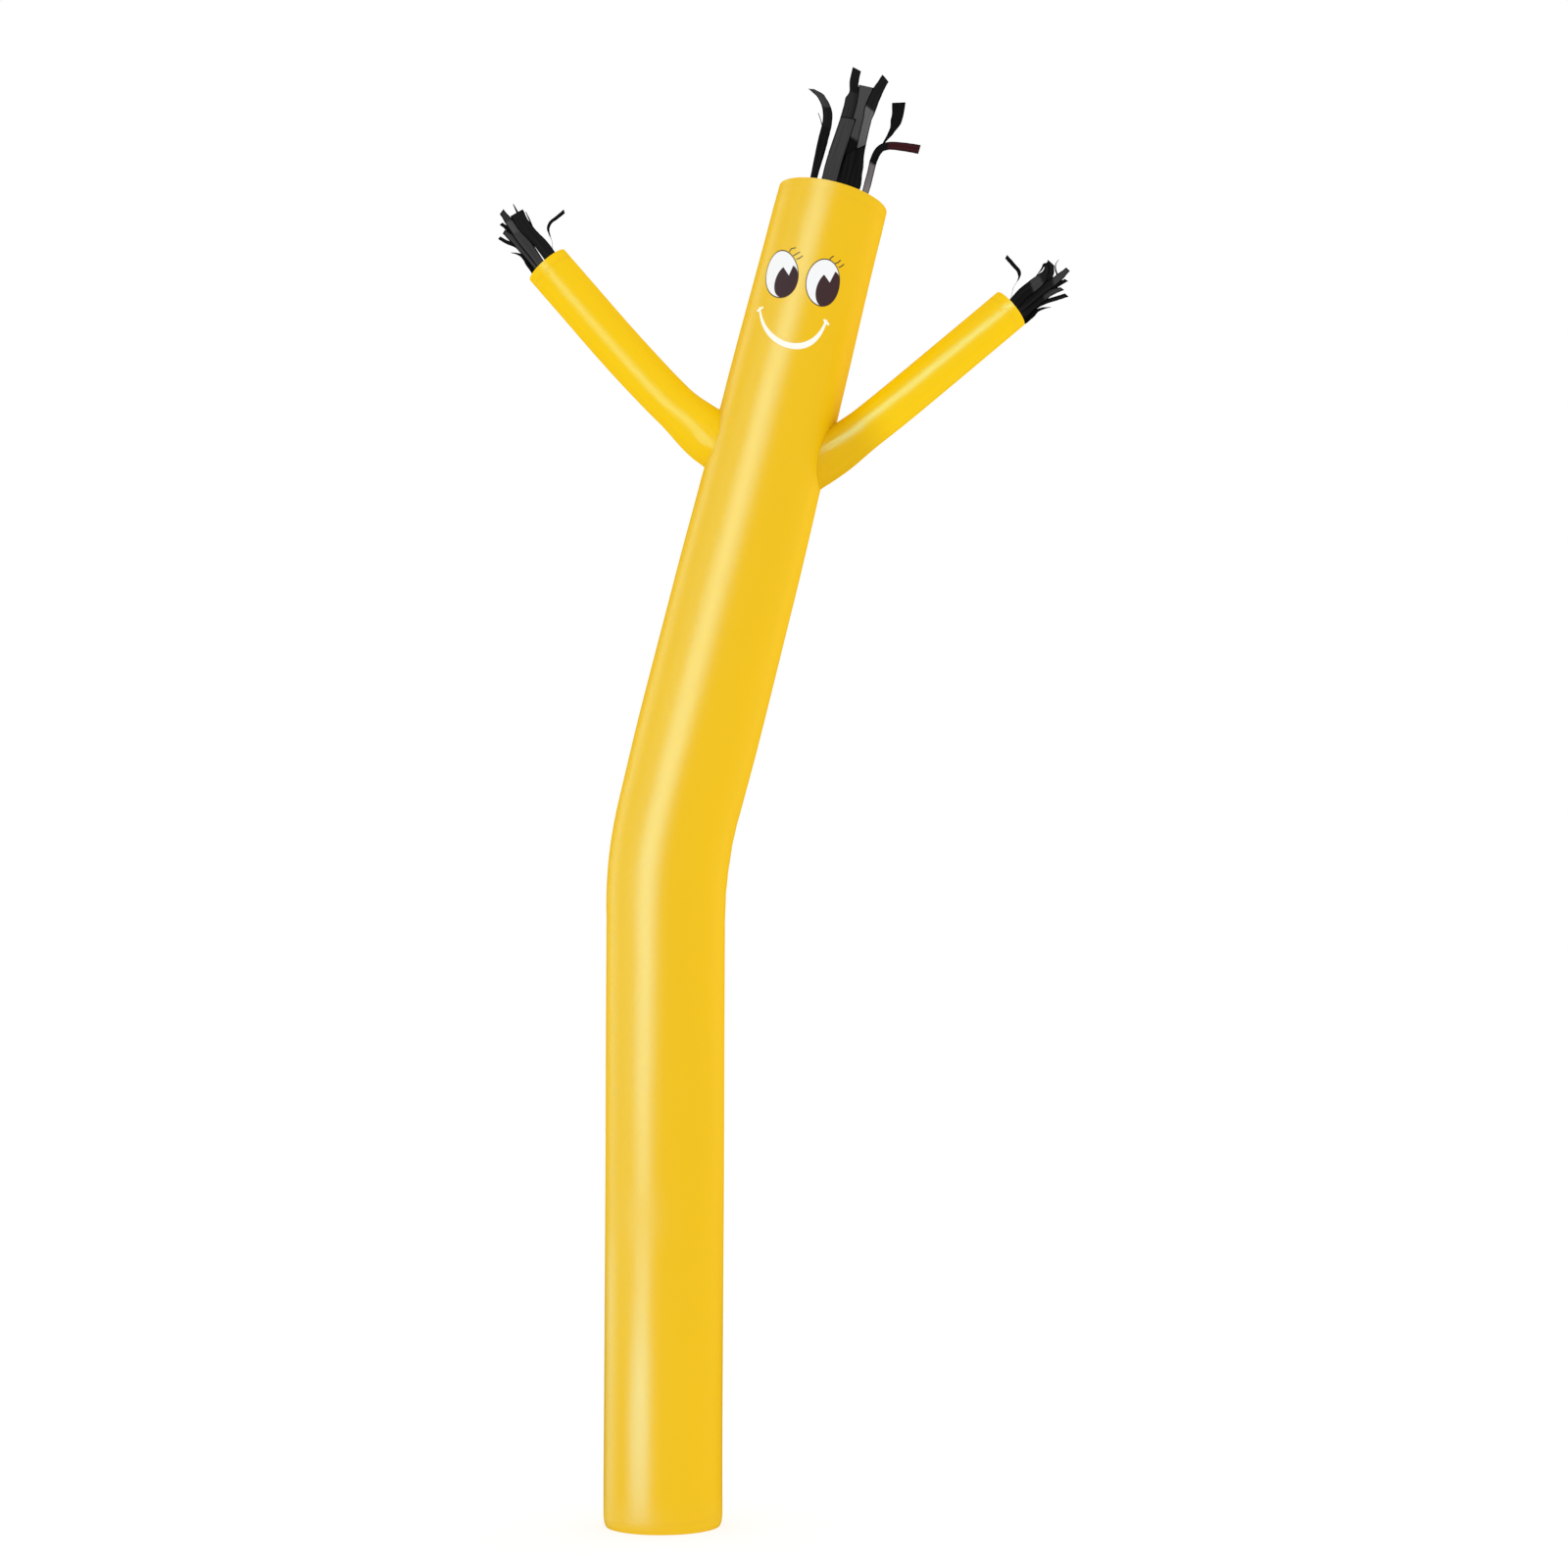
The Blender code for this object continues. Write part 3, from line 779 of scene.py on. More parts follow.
def arm_relief(arm, along, turn, from_seam):
    """How far the sleeve stands off its plain tube, in metres, outwards."""
    seed = 7.0 * arm.side
    fade = eased((arm.length - along) / 0.06), eased(from_seam / 0.04)
    relief = drift(turn, along, 1.1, 6.0, seed) * ARM_DRIFT * fade[0] * fade[1]
    relief += ROOT_SEAM * bump(from_seam - 0.004, 0.004)
    ripple = math.sin(turn * 15 + 1.8 * math.sin(turn * 4) + seed)
    relief += ROOT_GATHER * ripple * bump(from_seam - 0.032, 0.024)
    relief -= HAND_DENT * bump(arm.length - HAND_HEM - along, 0.007) * gathers(turn, 24, 1.4, 5)
    from_back = abs(turned_from(turn, math.pi)) * arm_radius(arm, along)
    return relief + SLEEVE_SEAM * bump(max(from_back - 0.004, 0), 0.005)


def arm_surface(arm, place, along, turn, seam):
    """The sleeve's outside, and the way out from it. place is the arm's frame there, and seam its start."""
    out = round_tube(turn)
    radius = arm_radius(arm, along) + arm_relief(arm, along, turn, along - seam)
    return place @ (out * radius), place.to_3x3() @ out


def make_arm(arm, finish):
    """The sleeve's first ring follows the seam on the body, and the last is the hand's rim."""
    turns = [math.tau * (column / ARM_COLUMNS - 0.5) for column in range(ARM_COLUMNS + 1)]
    seams = [seam_along(arm, turn) for turn in turns]
    shares = [0.0, 0.006, 0.012, 0.020, 0.030] + spaced(0.042, 1 - 0.10, ARM_RING_STEP / arm.length)
    shares += spaced(1 - 0.10, 1, HEM_RING_STEP / arm.length) + [1.0]
    frames = {}

    def along_at(share, turn):
        column = round((turn / math.tau + 0.5) * ARM_COLUMNS)
        return seams[column] + (arm.length - seams[column]) * share, seams[column]

    def surface(share, turn):
        along, seam = along_at(share, turn)
        key = round(along, 6)
        if key not in frames:
            frames[key] = arm_frame(arm, along)
        point, out = arm_surface(arm, frames[key], along, turn, seam)
        return point, -out

    def arc(share, turn):
        along, _ = along_at(share, turn)
        return turn * arm_radius(arm, along), along

    sleeve = tube_skin(f"arm_{arm.name}_skin", finish, shares, ARM_COLUMNS, surface, arc)
    sleeve.data.set_sharp_from_angle(angle=SHARP_EDGE)
    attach(sleeve, "root")
    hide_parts(f"arm_{arm.name}")
    return sleeve


# ---- thread

# How the stitches of a row are spaced and sized, and how closely the rows follow the cloth.
Sewing = namedtuple("Sewing", "pitch length thickness")
BODY_SEWING = Sewing(0.0045, 0.0032, 0.0007)
ARM_SEWING = Sewing(0.0040, 0.0029, 0.0006)
BACK_ROW_STEP = 0.02
BODY_ROW_POINTS = 240
ARM_ROW_POINTS = 160


def model_stitch():
    """One lock stitch, lying along X on the cloth with Z outwards, one long and one thick for scaling."""
    bpy.ops.object.select_all(action="DESELECT")
    bpy.ops.mesh.primitive_cylinder_add(vertices=6, radius=0.5, depth=1.0, rotation=(0, math.pi / 2, 0))
    stitch = bpy.context.object
    bpy.ops.object.transform_apply(location=True, rotation=True, scale=True)
    bpy.ops.object.mode_set(mode="EDIT")
    bpy.ops.mesh.select_mode(type="FACE")
    for end in (-1, 1):
        bpy.ops.mesh.select_all(action="DESELECT")
        bm = bmesh.from_edit_mesh(stitch.data)
        for face in bm.faces:
            face.select = face.normal.x * end > 0.9
        bmesh.update_edit_mesh(stitch.data)
        bpy.ops.mesh.extrude_region_move(TRANSFORM_OT_translate={"value": (end * 0.16, 0, -0.30)})
        bpy.ops.transform.resize(value=(1, 0.45, 0.45))
    # The extrusions store their faces in any order. This puts them in one, by each face's first edge.
    bm = bmesh.from_edit_mesh(stitch.data)
    bm.verts.index_update()
    bm.faces.sort(key=lambda face: face.verts[0].index * len(bm.verts) + face.verts[1].index)
    bmesh.update_edit_mesh(stitch.data)
    bpy.ops.object.mode_set(mode="OBJECT")
    mesh = stitch.data
    bpy.data.objects.remove(stitch, do_unlink=True)
    return mesh


def sew(name, stitch, finish, lines, sewing):
    """Rows of the one stitch along lines of (point, way out), each placed along its line's run."""
    thickness = sewing.thickness
    bm = bmesh.new()
    for line in lines:
        for start, end, out in walk(line, sewing.pitch):
            run = (end - start).normalized()
            side = out.cross(run).normalized()
            out = run.cross(side)
            turned = Matrix((run, side, out)).transposed().to_4x4()
            sized = Matrix.Diagonal((sewing.length, thickness, thickness * 0.7, 1))
            lifted = (start + end) / 2 + out * thickness * 0.10
            copy = stitch.copy()
            copy.transform(Matrix.Translation(lifted) @ turned @ sized)
            bm.from_mesh(copy)
            bpy.data.meshes.remove(copy)
    mesh = bpy.data.meshes.new(name)
    bm.to_mesh(mesh)
    bm.free()
    row = in_scene(name, mesh, finish)
    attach(row, "root")
    return row


def walk(line, pitch):
    """Even steps along a line of (point, way out)."""
    left = 0.0
    before, out_before = line[0]
    start = before
    for point, out in line[1:]:
        span = (point - before).length
        while left + span >= pitch:
            share = (pitch - left) / span
            end = before.lerp(point, share)
            way = out_before.lerp(out, share).normalized()
            yield start, end, way
            before, out_before, start = end, way, end
            span = (point - before).length
            left = 0.0
        left += span
        before, out_before = point, out


def body_point(along, turn):
    """A point of a row on the body, and the way out."""
    point, inwards = body_surface(along, turn)
    return point, -inwards


def ring_line(along):
    """A row round the body."""
    turns = [math.tau * i / BODY_ROW_POINTS - math.pi for i in range(BODY_ROW_POINTS + 1)]
    return [body_point(along, turn) for turn in turns]


def back_line(side):
    """A row beside the body's back seam, from foot to head."""
    places = [i * BACK_ROW_STEP for i in range(1, int(BODY_LENGTH / BACK_ROW_STEP))]
    places.append(BODY_LENGTH - 0.004)
    return [body_point(along, math.pi - side * 0.0042 / body_radius(along)) for along in places]


def arm_line(arm, along_from):
    """A row round an arm: along_from(turn) is its distance along the arm."""
    line = []
    for i in range(ARM_ROW_POINTS + 1):
        turn = math.tau * i / ARM_ROW_POINTS - math.pi
        along = along_from(turn)
        line.append(arm_surface(arm, arm_frame(arm, along), along, turn, seam_along(arm, turn)))
    return line


def make_stitches(finish):
    stitch = model_stitch()
    hem = BODY_LENGTH - HEAD_HEM
    rows = [ring_line(along) for along in (hem + 0.003, hem + 0.007, BODY_LENGTH - 0.004, 0.021, 0.025)]
    rows += [back_line(1), back_line(-1)]
    body = sew("body_stitches", stitch, finish, rows, BODY_SEWING)
    arms = {}
    for arm in ARMS:
        hem = arm.length - HAND_HEM
        rows = [arm_line(arm, lambda turn, along=hem + row: along) for row in (0.002, 0.0055)]
        rows.append(arm_line(arm, lambda turn, arm=arm: seam_along(arm, turn) + 0.0055))
        arms[arm.name] = sew(f"arm_{arm.name}_stitches", stitch, finish, rows, ARM_SEWING)
    return body, arms


# ---- ribbons


def graded(table, share):
    """What a table of (share, value) gives at a share, changing softly between its rows."""
    for (low, start), (high, end) in zip(table, table[1:]):
        if share <= high:
            return start + (end - start) * eased((share - low) / (high - low))
    return table[-1][1]


def dye_and_sheen_at(dyes, place, length):
    """A ribbon's colour at a place up it: its dye and its painted sheen. Each change takes a few millimetres."""
    colour = Vector(dyes[0][1])
    for start, dye in dyes[1:]:
        colour = colour.lerp(Vector(dye), eased((place - start * length) / DYE_AND_SHEEN_CHANGE + 0.5))
    return colour


def smooth_line(knots, step):
    """Points about a step apart on a smooth curve through the knots."""
    spans = [(after - before).length for before, after in zip(knots, knots[1:])]
    slopes = [(after - before) / span for before, after, span in zip(knots, knots[1:], spans)]
    ways = [slopes[0]]
    for i in range(1, len(spans)):
        ways.append((slopes[i - 1] * spans[i] + slopes[i] * spans[i - 1]) / (spans[i - 1] + spans[i]))
    ways.append(slopes[-1])
    line = []
    for i, span in enumerate(spans):
        steps = max(2, round(span / step))
        for k in range(steps):
            a = k / steps
            b, c = a * a, a * a * a
            point = knots[i] * (2 * c - 3 * b + 1) + knots[i + 1] * (3 * b - 2 * c)
            line.append(point + ways[i] * span * (c - 2 * b + a) + ways[i + 1] * span * (c - b))
    return line + [knots[-1]]


def cut_ribbon(ribbon, radius, number):
    """One ribbon: a thin strip, cupped across, with slightly uneven edges and a slanted tip.

    It gives rows of (middle, face, place on the flat cloth, distance from the edge, colour of dye and painted
    sheen).
    """
    outward = round_tube(math.radians(ribbon.turn))
    root = outward * (radius - TAPE_THICKNESS / 2)
    knots = [root - Vector((0, 0, ROOT_DEPTH)), root] + [Vector(place) / 1000 for place in ribbon.path]
    line = smooth_line(knots, RIBBON_STEP)
    run = [0.0]
    for before, after in zip(line, line[1:]):
        run.append(run[-1] + (after - before).length)
    length = run[-1] - ROOT_DEPTH
    shares = [max(0.0, (place - ROOT_DEPTH) / length) for place in run]
    front = 1 if outward.y < 0 else -1
    half = RIBBON_STRANDS // 2
    rows = []
    for i, (point, share) in enumerate(zip(line, shares)):
        along = (line[min(i + 1, len(line) - 1)] - line[max(i - 1, 0)]).normalized()
        face = (outward * front).lerp(Vector((0, -1, 0)), eased(share / FRONT_BY))
        face = (face - along * face.dot(along)).normalized()
        face.rotate(Matrix.Rotation(math.radians(ribbon.twist) * eased(share), 3, along))
        wide = along.cross(face)
        width = graded(ribbon.widths, share) / 1000
        grown = eased(share / GROWN_BY)
        cup = width * CUP * noise.noise(Vector((number * 3.7, share * 1.4, 4.0))) * grown
        cup -= front * width * width / (8 * radius) * (1 - grown)
        ruffle = RUFFLE * grown * noise.noise(Vector((number * 5.1, share * 4.0, 1.0)))
        tip = ribbon.slant * width / 2 * eased((share - TIP_FROM) / (1 - TIP_FROM))
        row = []
        for k in range(-half, half + 1):
            across = k / half
            fray = FRAY * noise.noise(Vector((number + across * 9, share * 22, 7.0))) * abs(across) * grown
            middle = point + wide * (across * width / 2 + fray) + along * tip * across
            middle += face * (cup * across * across + ruffle * across)
            edge = min((1 - abs(across)) * width / 2, (1 - share) * length)
            # The colour here comes from the ribbon's dye and its painted sheen.
            place = share + DYE_AND_SHEEN_SLANT * across * width / length
            dye = dye_and_sheen_at(ribbon.dyes, place * length, length)
            row.append((middle, face, (across * width / 2 + 0.05 * number, run[i]), edge, dye))
        rows.append(row)
    return rows


def strip_mesh(name, strips, place):
    """The ribbons as closed thin shells, with each corner's colour of dye and painted sheen and its distance
    from the edge.
    """
    verts, faces, corners, dyes, edges = [], [], [], [], []
    for rows in strips:
        base, count = len(verts), len(rows[0])
        loop = 2 * count
        for row in rows:
            for sign, side in ((-1, row), (1, row[::-1])):
                lift = sign * RIBBON_SKIN / 2
                verts.extend(place @ (middle + face * lift) for middle, face, _, _, _ in side)

        def add(*quad):
            faces.append([base + i * loop + k % loop for i, k in quad])
            for i, k in quad:
                k %= loop
                _, _, laid, edge, dye = rows[i][k if k < count else loop - 1 - k]
                corners.append(laid)
                edges.append(edge)
                dyes.append(dye)

        last = len(rows) - 1
        for i in range(last):
            for k in range(loop):
                add((i, k), (i, k + 1), (i + 1, k + 1), (i + 1, k))
        for k in range(count - 1):
            add((0, loop - 1 - k), (0, loop - 2 - k), (0, k + 1), (0, k))
            add((last, k), (last, k + 1), (last, loop - 2 - k), (last, loop - 1 - k))
    mesh = bpy.data.meshes.new(name)
    mesh.from_pydata(verts, [], faces)
    lay_map(mesh, "cloth", corners)
    dye_and_sheen_layer = mesh.attributes.new("dye", "FLOAT_COLOR", "CORNER")
    dye_and_sheen_layer.data.foreach_set("color", [number for dye in dyes for number in dye])
    mesh.attributes.new("from_edge", "FLOAT", "CORNER").data.foreach_set("value", edges)
    return mesh


def add_tape(bm, radius, height, place):
    """The heading tape inside the hem, a thin closed ring."""
    layers = bm.loops.layers
    laid, dye, from_edge = layers.uv["cloth"], layers.float_color["dye"], layers.float["from_edge"]
    inside = radius - TAPE_THICKNESS
    section = ((radius, 0.0), (radius, -height), (inside, -height), (inside, 0.0))
    rings = []
    for column in range(TAPE_COLUMNS):
        out = round_tube(math.tau * column / TAPE_COLUMNS)
        corners = [out * distance + Vector((0, 0, level)) for distance, level in section]
        rings.append([bm.verts.new(place @ corner) for corner in corners])
    for column in range(TAPE_COLUMNS):
        here, there = rings[column], rings[(column + 1) % TAPE_COLUMNS]
        for k in range(4):
            face = bm.faces.new((here[k], here[(k + 1) % 4], there[(k + 1) % 4], there[k]))
            face.smooth = True
            for loop, (turn, level) in zip(face.loops, ((0, k), (0, k + 1), (1, k + 1), (1, k))):
                round_way = (column + turn) * math.tau / TAPE_COLUMNS * radius
                loop[laid].uv = (round_way, section[level % 4][1])
                loop[dye] = BLACK
                loop[from_edge] = TAPE_FROM_EDGE


def make_bunch(name, cad_node, ribbons, mouth, rim_radius, height, finish):
    """Ribbons on a tape that is height tall, just inside a mouth of rim_radius. mouth is the rim's frame."""
    radius = rim_radius - SEAM_GAP
    place = mouth @ Matrix.Translation((0, 0, -TAPE_SET_BACK))
    strips = [cut_ribbon(ribbon, radius, number) for number, ribbon in enumerate(ribbons)]
    mesh = strip_mesh(name, strips, place)
    bunch = in_scene(name, mesh, finish)
    bm = bmesh.new()
    bm.from_mesh(mesh)
    add_tape(bm, radius, height, place)
    bmesh.ops.recalc_face_normals(bm, faces=bm.faces)
    bm.to_mesh(mesh)
    bm.free()
    mesh.set_sharp_from_angle(angle=SHARP_EDGE)
    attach(bunch, "root")
    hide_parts(cad_node)
    return bunch


def make_ribbons(finish):
    mouth, rim_radius = body_frame(BODY_LENGTH), body_radius(BODY_LENGTH) - SKIN
    head = make_bunch("head_ribbons", "ribbons_head", HEAD_RIBBONS, mouth, rim_radius, HEAD_TAPE_HEIGHT, finish)
    bunches = {"head": head}
    for arm in ARMS:
        bunches[arm.name] = make_bunch(
            f"{arm.name}_hand_ribbons",
            f"ribbons_{arm.name}_hand",
            HAND_RIBBONS[arm.name],
            arm_frame(arm, arm.length),
            arm_radius(arm, arm.length) - SKIN,
            HAND_TAPE_HEIGHT,
            finish,
        )
    return bunches


# ---- the printed face

# Places are in metres on the flat cloth: to the right of the front's middle line, and up from the head's
# rim. An oval's lean tips its top to the right, in degrees. A pupil's notch opens upwards from its low
# point, slopes to the left as it rises and spreads both ways.
Oval = namedtuple("Oval", "centre half_width half_height lean")
Eye = namedtuple("Eye", "white pupil notch slope spread")
EYES = (
    Eye(
        Oval((-0.0670, -0.2237), 0.0400, 0.0553, -24.5), Oval((-0.0497, -0.2388), 0.0266, 0.0378, 3.8),
        notch=(-0.0458, -0.2258), slope=0.42, spread=0.60,
    ),
    Eye(
        Oval((0.0320, -0.2242), 0.0373, 0.0515, -4.6), Oval((0.0465, -0.2345), 0.0262, 0.0425, 8.0),
        notch=(0.0457, -0.2197), slope=0.53, spread=0.76,
    ),
)
LASHES = (
    ((-0.0585, -0.1717), (-0.0562, -0.1650), (-0.0470, -0.1620)),
    ((-0.0463, -0.1799), (-0.0420, -0.1765), (-0.0352, -0.1707)),
    ((-0.0372, -0.1867), (-0.0320, -0.1842), (-0.0266, -0.1780)),
    ((0.0331, -0.1713), (0.0349, -0.1660), (0.0392, -0.1612)),
    ((0.0476, -0.1750), (0.0526, -0.1712), (0.0571, -0.1644)),
    ((0.0579, -0.1804), (0.0618, -0.1770), (0.0671, -0.1700)),
)
LASH_HALF_WIDTH = 0.0013
SMILE = Oval((-0.0291, -0.2602), 0.0832, 0.1226, -20.6)
SMILE_ENDS = (((-0.1062, -0.3086), (-0.0930, -0.3018)), ((0.0550, -0.3030), (0.0662, -0.3080)))
SMILE_END_HALF_WIDTH = 0.0028


def print_eye(finish, across, up, eye, colour):
    """The cloth's colour with an eye on it, and where its ink is."""
    edge = finish.oval(across, up, *eye.white)
    white = finish.soft(edge, 1.004, 0.990)
    line = finish.both(finish.soft(edge, 1.046, 1.028), finish.soft(edge, 0.980, 0.994))
    pupil = finish.oval(across, up, *eye.pupil)
    rise = up - eye.notch[1]
    in_notch = abs((across - eye.notch[0]) + rise * eye.slope) - rise * eye.spread
    notch = finish.soft(in_notch, 0.0004, -0.0006)
    dark = finish.both(finish.both(finish.soft(pupil, 1.015, 0.985), white), 1 - notch)
    colour = finish.mix(white, colour, INK_WHITE)
    colour = finish.mix(finish.either(dark, line), colour, INK_DARK)
    return colour, finish.either(white, line)


def face_print(finish, across, along, colour):
    """Two oval eyes that look to the side, lashes and a thin smile: the cloth's colour, and where ink is."""
    up = along - BODY_LENGTH
    inks = []
    for eye in EYES:
        colour, ink = print_eye(finish, across, up, eye, colour)
        inks.append(ink)
    inked = finish.either(*inks)
    for points in LASHES:
        for start, end in zip(points, points[1:]):
            lash = finish.stroke(across, up, start, end, LASH_HALF_WIDTH)
            colour = finish.mix(lash, colour, LINE_DARK)
            inked = finish.either(inked, lash)
    bow = finish.oval(across, up, *SMILE)
    low = finish.soft(up, -0.2990, -0.3030)
    thick = finish.soft(up, -0.297, -0.377, 0.028, 0.055)
    smile = finish.both(finish.soft(abs(bow - 1.0) - thick, 0.006, -0.006), low)
    for start, end in SMILE_ENDS:
        smile = finish.either(smile, finish.stroke(across, up, start, end, SMILE_END_HALF_WIDTH))
    return finish.mix(smile, colour, SMILE_WHITE), finish.either(inked, smile)


# ---- the finishes themselves

# The weave's and the ribs' pitch, how high the weave stands, and where the body's cloth hangs slack and dull.
THREAD_PITCH = 0.0009
RIB_PITCH = 0.0011
THREAD_RELIEF = 0.00004
SLACK_PATCH = Oval((-0.045, 0.645), 0.080, 0.060, 0.0)


def woven(finish, across, along):
    """Fine crossed threads, with the odd thicker one, from -1 to 1."""
    crossed = finish.wave(across, THREAD_PITCH) * finish.wave(along, THREAD_PITCH)
    slubs = finish.cloud(across, along, 900, 30) + finish.cloud(across, along, 30, 900) - 1.0
    return crossed * 0.4 + slubs * 0.6


def dyed_cloth(finish, shade, threads, main_dye, shade_dye, thread_dye):
    cloth = finish.mix(finish.soft(shade, 0.30, 0.80, 0.0, 0.30), main_dye, shade_dye)
    return finish.mix(finish.soft(threads, 0.1, 0.9, 0.0, 0.15), cloth, thread_dye)


def body_finish():
    finish = Finish("body_cloth", roughness=0.30, specular=0.25, tint=SHINE)
    across, along = finish.cloth_place()
    threads = woven(finish, across, along)
    shade = finish.cloud(across, along, 5.0, 1.3, 3.0)
    cloth = dyed_cloth(finish, shade, threads, YELLOW, DEEP_YELLOW, PALE_YELLOW)
    colour, ink = face_print(finish, across, along, cloth)
    slack = finish.oval(across, along, *SLACK_PATCH)
    foot = finish.soft(along, 0.085, 0.010)
    roughness = finish.soft(slack, 1.6, 0.0, 0.0, 0.14) + foot * 0.14 + shade * 0.05 + 0.265
    finish.wear(base_color=colour, roughness=finish.soft(ink, 0.0, 1.0, roughness, 1.0))
    ripple = finish.cloud(across, along, 9.0, 3.0, 2.0)
    finish.wear(normal=finish.raised(threads * THREAD_RELIEF + ripple * 0.0010, 1.0))
    return finish


def arm_finish(arm):
    finish = Finish(f"{arm.name}_arm_cloth", roughness=0.30, specular=0.25, tint=ARM_SHINE)
    across, along = finish.cloth_place()
    threads = woven(finish, across, along)
    shade = finish.cloud(across, along, 9.0, 4.0, 3.0)
    cloth = dyed_cloth(finish, shade, threads, ARM_YELLOW, ARM_SHADE, PALE_ARM)
    # Painted shade near the right arm's root, where it meets the body.
    if arm.side > 0:
        cloth = finish.mix(finish.soft(along, 0.165, 0.050), cloth, ROOT_PAINTED_SHADE)
    ripple = finish.cloud(across, along, 14.0, 6.0, 2.0)
    finish.wear(base_color=cloth, roughness=shade * 0.05 + 0.215)
    finish.wear(normal=finish.raised(threads * THREAD_RELIEF + ripple * 0.0006, 1.0))
    return finish


def ribbon_finish():
    """Each ribbon's own dye and painted sheen with darker and paler streaks along it, and dark edges."""
    finish = Finish("ribbon_cloth", roughness=0.60, specular=0.05)
    across, along = finish.cloth_place()
    # The attribute holds each ribbon's dye and its painted sheen.
    dye = finish.node("ShaderNodeAttribute", {"attribute_name": "dye"})
    from_edge = finish.node("ShaderNodeAttribute", {"attribute_name": "from_edge"}, output=2)
    ribs = finish.wave(along, RIB_PITCH)
    streak = finish.cloud(across, along, 420, 7)
    share = finish.soft(streak, 0.35, 0.75, 0.0, 0.75)
    cloth = finish.mix(share, finish.mix(0.35, dye, BLACK), finish.mix(0.12, dye, ASH))
    colour = finish.mix(finish.soft(from_edge, 0.0030, 0.0012), cloth, EDGE_BLACK)
    finish.wear(base_color=colour, roughness=streak * 0.14 + 0.54)
    finish.wear(normal=finish.raised(ribs * 0.00001 + streak * 0.00008, 1.0))
    return finish


def thread_finish():
    finish = Finish("yellow_thread", roughness=0.50, specular=0.35)
    place = finish.node("ShaderNodeTexCoord", {}, output=3)
    fuzz = finish.node("ShaderNodeTexNoise", {}, {"Vector": place, "Scale": 900.0, "Detail": 2.0})
    finish.wear(base_color=finish.mix(fuzz, YELLOW, PALE_YELLOW))
    finish.wear(normal=finish.raised(fuzz, 0.0001))
    return finish


# ---- stage, light and camera

# A soft box is a long light from foot to head that faces its target. It shines on the body's pieces, one
# arm's or all the cloth's, or on everything when none are named.
FIELDS = "name foot head target width brightness shines_on colour"
SoftBox = namedtuple("SoftBox", FIELDS, defaults=(None, COOL_LIGHT))
MIDDLE = (0.1, 0, 1.8)
FOOT_MIDDLE = (0, 0, 0.3)
LEFT_ARM_MIDDLE = (-0.13, -0.06, 2.50)
RIGHT_ARM_MIDDLE = (0.58, -0.07, 2.47)
SOFT_BOXES = (
    SoftBox("high_strip", (-1.820, -3.00, 2.30), (-0.270, -3.10, 4.75), MIDDLE, 2.15, 10.3, "body"),
    SoftBox("low_strip", (-3.080, -2.92, 0.35), (-1.820, -3.00, 2.30), MIDDLE, 2.20, 13.0, "body"),
    SoftBox("foot_strip", (-0.76, -0.84, -0.17), (-0.76, -0.84, 0.31), FOOT_MIDDLE, 0.74, 13.0, "body"),
    SoftBox("left_fill", (-4.20, -0.90, 0.05), (-3.40, -1.70, 6.20), MIDDLE, 1.70, 2.8, "body", EDGE_SHINE),
    SoftBox("side_sheen", (-3.60, 1.50, 0.05), (-3.20, 1.50, 5.60), MIDDLE, 2.40, 2.0, "body", EDGE_SHINE),
    SoftBox("foot_sheen", (-0.95, 0.40, -0.25), (-0.95, 0.40, 0.50), FOOT_MIDDLE, 0.65, 1.7, "body", EDGE_SHINE),
    SoftBox("left_arm_strip", (-1.34, -2.37, 0.74), (-1.36, -3.07, 3.28), LEFT_ARM_MIDDLE, 0.95, 9.0, "left"),
    SoftBox("right_arm_strip", (-0.90, -2.55, 3.98), (1.75, -3.10, 2.93), RIGHT_ARM_MIDDLE, 0.50, 22.0, "right"),
    SoftBox("cloth_round_about", (0, 6, 0), (0, 6, 20), MIDDLE, 30, 0.75, "cloth", CLOTH_GLOW),
    SoftBox("right_edge", (3.20, 2.70, 0.05), (3.60, 2.70, 4.50), MIDDLE, 2.20, 0.8),
    SoftBox("left_edge", (-3.00, 2.70, 0.05), (-2.80, 2.70, 4.50), MIDDLE, 2.20, 0.35),
)

# How far up the camera looks, in degrees.
CAMERA_RISE = 6.08


def make_stage():
    finish = Finish("studio_floor", roughness=0.9, specular=0.0)
    finish.wear(base_color=FLOOR_WHITE)
    finish.shader.inputs["Emission Color"].default_value = WHITE
    finish.shader.inputs["Emission Strength"].default_value = 0.67
    bpy.ops.object.select_all(action="DESELECT")
    bpy.ops.mesh.primitive_plane_add(size=60, location=(0, 0, 0))
    floor = bpy.context.object
    floor.name = "studio_floor_sheet"
    floor.data.materials.append(finish.material)
    floor.visible_glossy = False


def make_surroundings():
    """White all round for sight and soft light. The cloth's shine shows the soft boxes alone."""
    world = bpy.data.worlds.new("studio")
    bpy.context.scene.world = world
    world.use_nodes = True
    background = world.node_tree.nodes["Background"]
    background.inputs["Color"].default_value = WHITE
    background.inputs["Strength"].default_value = 1.0
    world.cycles_visibility.glossy = False


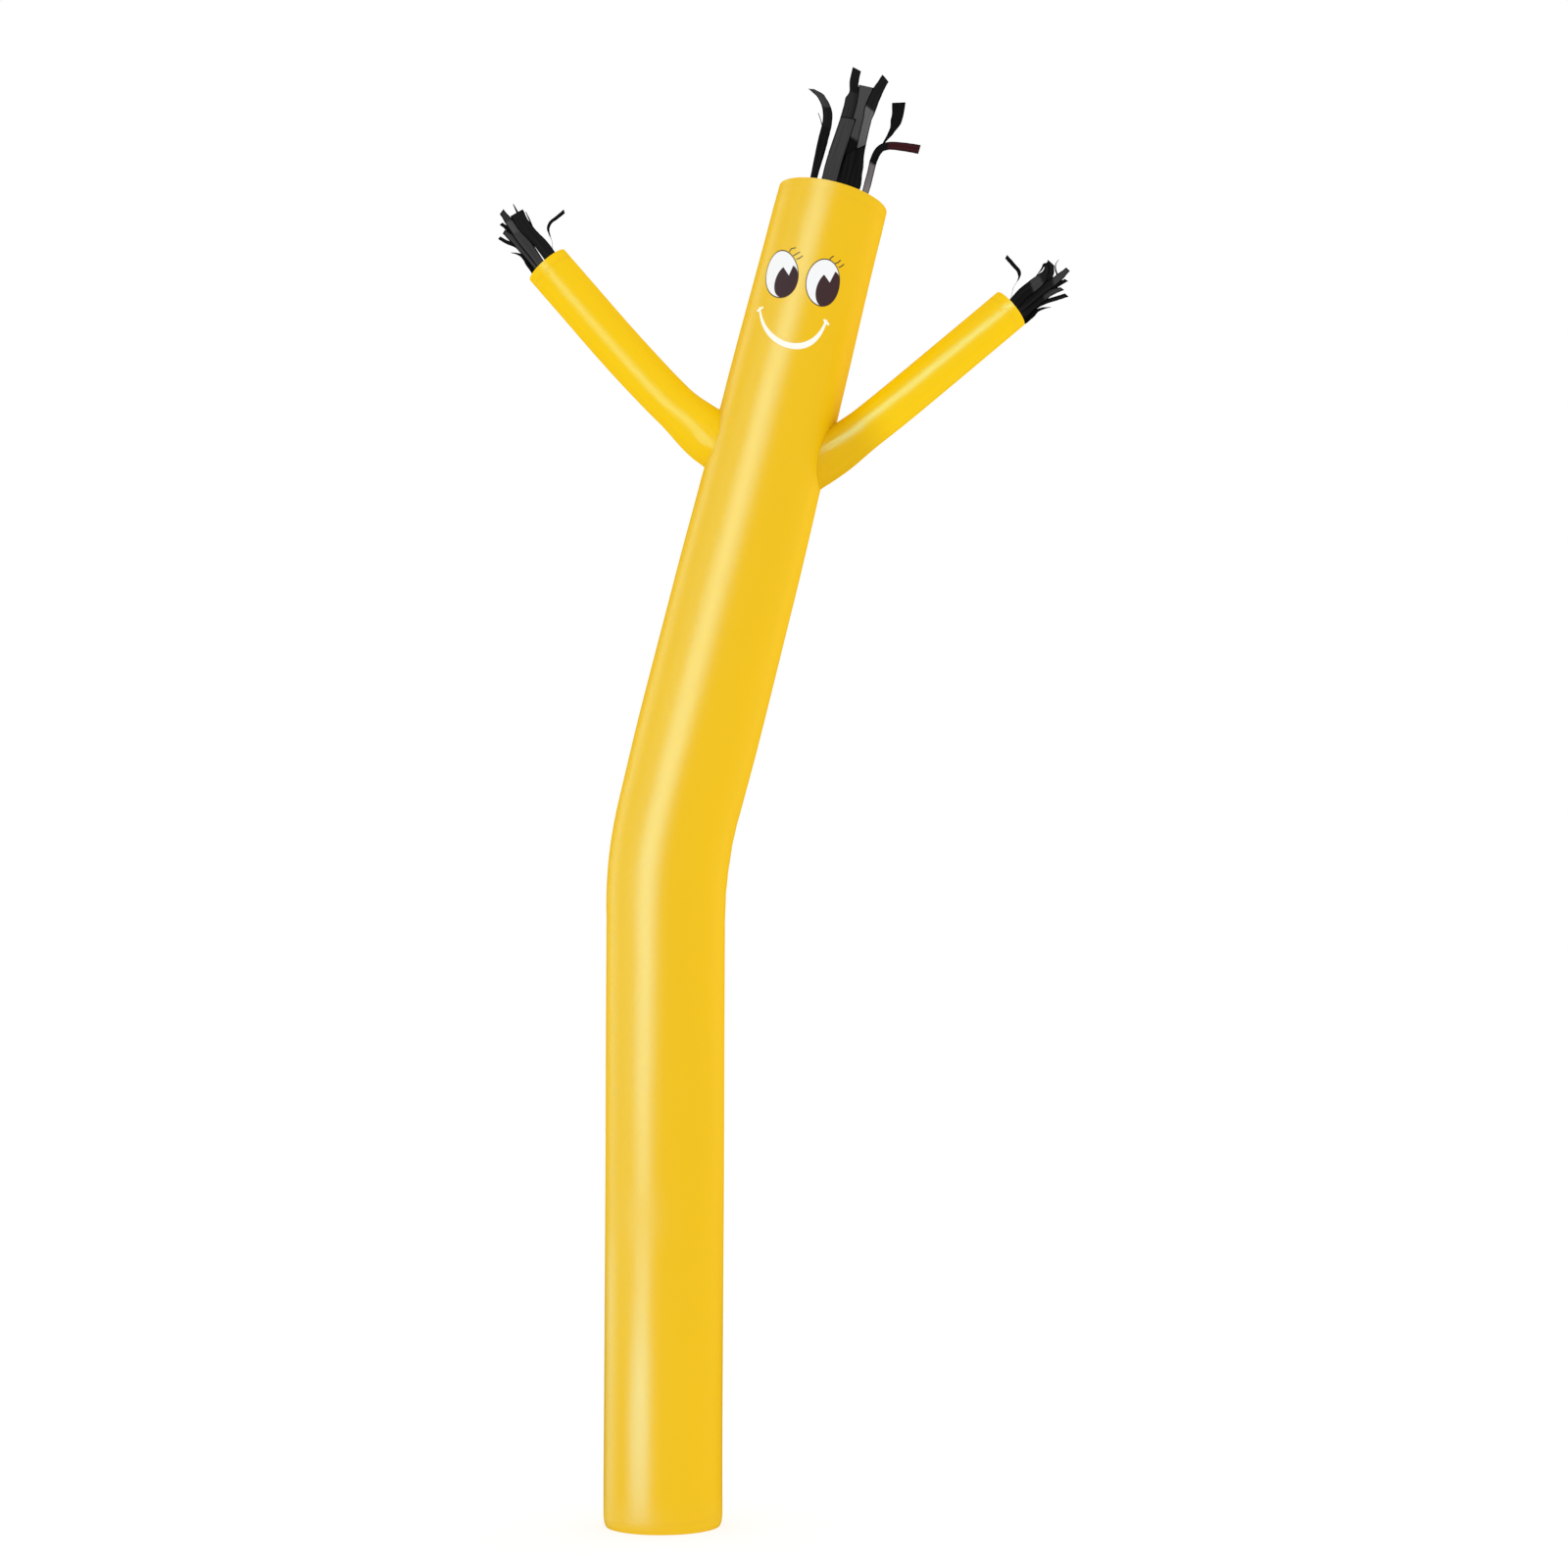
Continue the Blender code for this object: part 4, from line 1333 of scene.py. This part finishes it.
def hang_soft_box(box, pieces):
    """Adds a soft box. The pieces that it shines on, if any, alone take its light and cast its shadows."""
    foot, head, target = Vector(box.foot), Vector(box.head), Vector(box.target)
    centre, up = (foot + head) / 2, (head - foot).normalized()
    towards = target - centre
    towards = (towards - up * towards.dot(up)).normalized()
    light = bpy.data.lights.new(box.name, "AREA")
    light.shape = "RECTANGLE"
    light.size, light.size_y = box.width, (head - foot).length
    light.energy = box.brightness * math.pi * light.size * light.size_y
    lamp = bpy.data.objects.new(box.name, light)
    lamp.matrix_world = Matrix((towards.cross(up), up, -towards)).transposed().to_4x4()
    lamp.location = centre
    lamp.visible_camera = False
    lamp.visible_diffuse = not pieces
    lamp.visible_glossy = bool(pieces)
    bpy.context.scene.collection.objects.link(lamp)
    if pieces:
        light.color = box.colour
        shone_on = bpy.data.collections.new(box.name)
        for piece in pieces:
            shone_on.objects.link(piece)
        lamp.light_linking.receiver_collection = shone_on
        lamp.light_linking.blocker_collection = shone_on


def light_pieces(body_pieces, arm_pieces):
    cloth_pieces = body_pieces + arm_pieces["left"] + arm_pieces["right"]
    named = {"body": body_pieces, "cloth": cloth_pieces, **arm_pieces}
    for box in SOFT_BOXES:
        hang_soft_box(box, named.get(box.shines_on))


def make_camera():
    camera = bpy.data.objects.new("camera", bpy.data.cameras.new("camera"))
    camera.location = (0.2542, -5.604, 0.968)
    camera.rotation_euler = (math.radians(90 + CAMERA_RISE), 0, 0)
    camera.data.lens = 59.8
    camera.data.sensor_width = 36
    camera.data.clip_end = 200
    bpy.context.scene.collection.objects.link(camera)
    bpy.context.scene.camera = camera


def main():
    bpy.context.scene.view_settings.view_transform = "Standard"
    make_camera()
    make_stage()
    make_surroundings()
    yellow_thread = thread_finish()
    body = make_body(body_finish())
    arms = {arm.name: make_arm(arm, arm_finish(arm)) for arm in ARMS}
    bunches = make_ribbons(ribbon_finish())
    body_stitches, arm_stitches = make_stitches(yellow_thread)
    light_pieces([body, body_stitches], {name: [arms[name], arm_stitches[name]] for name in arms})


main()
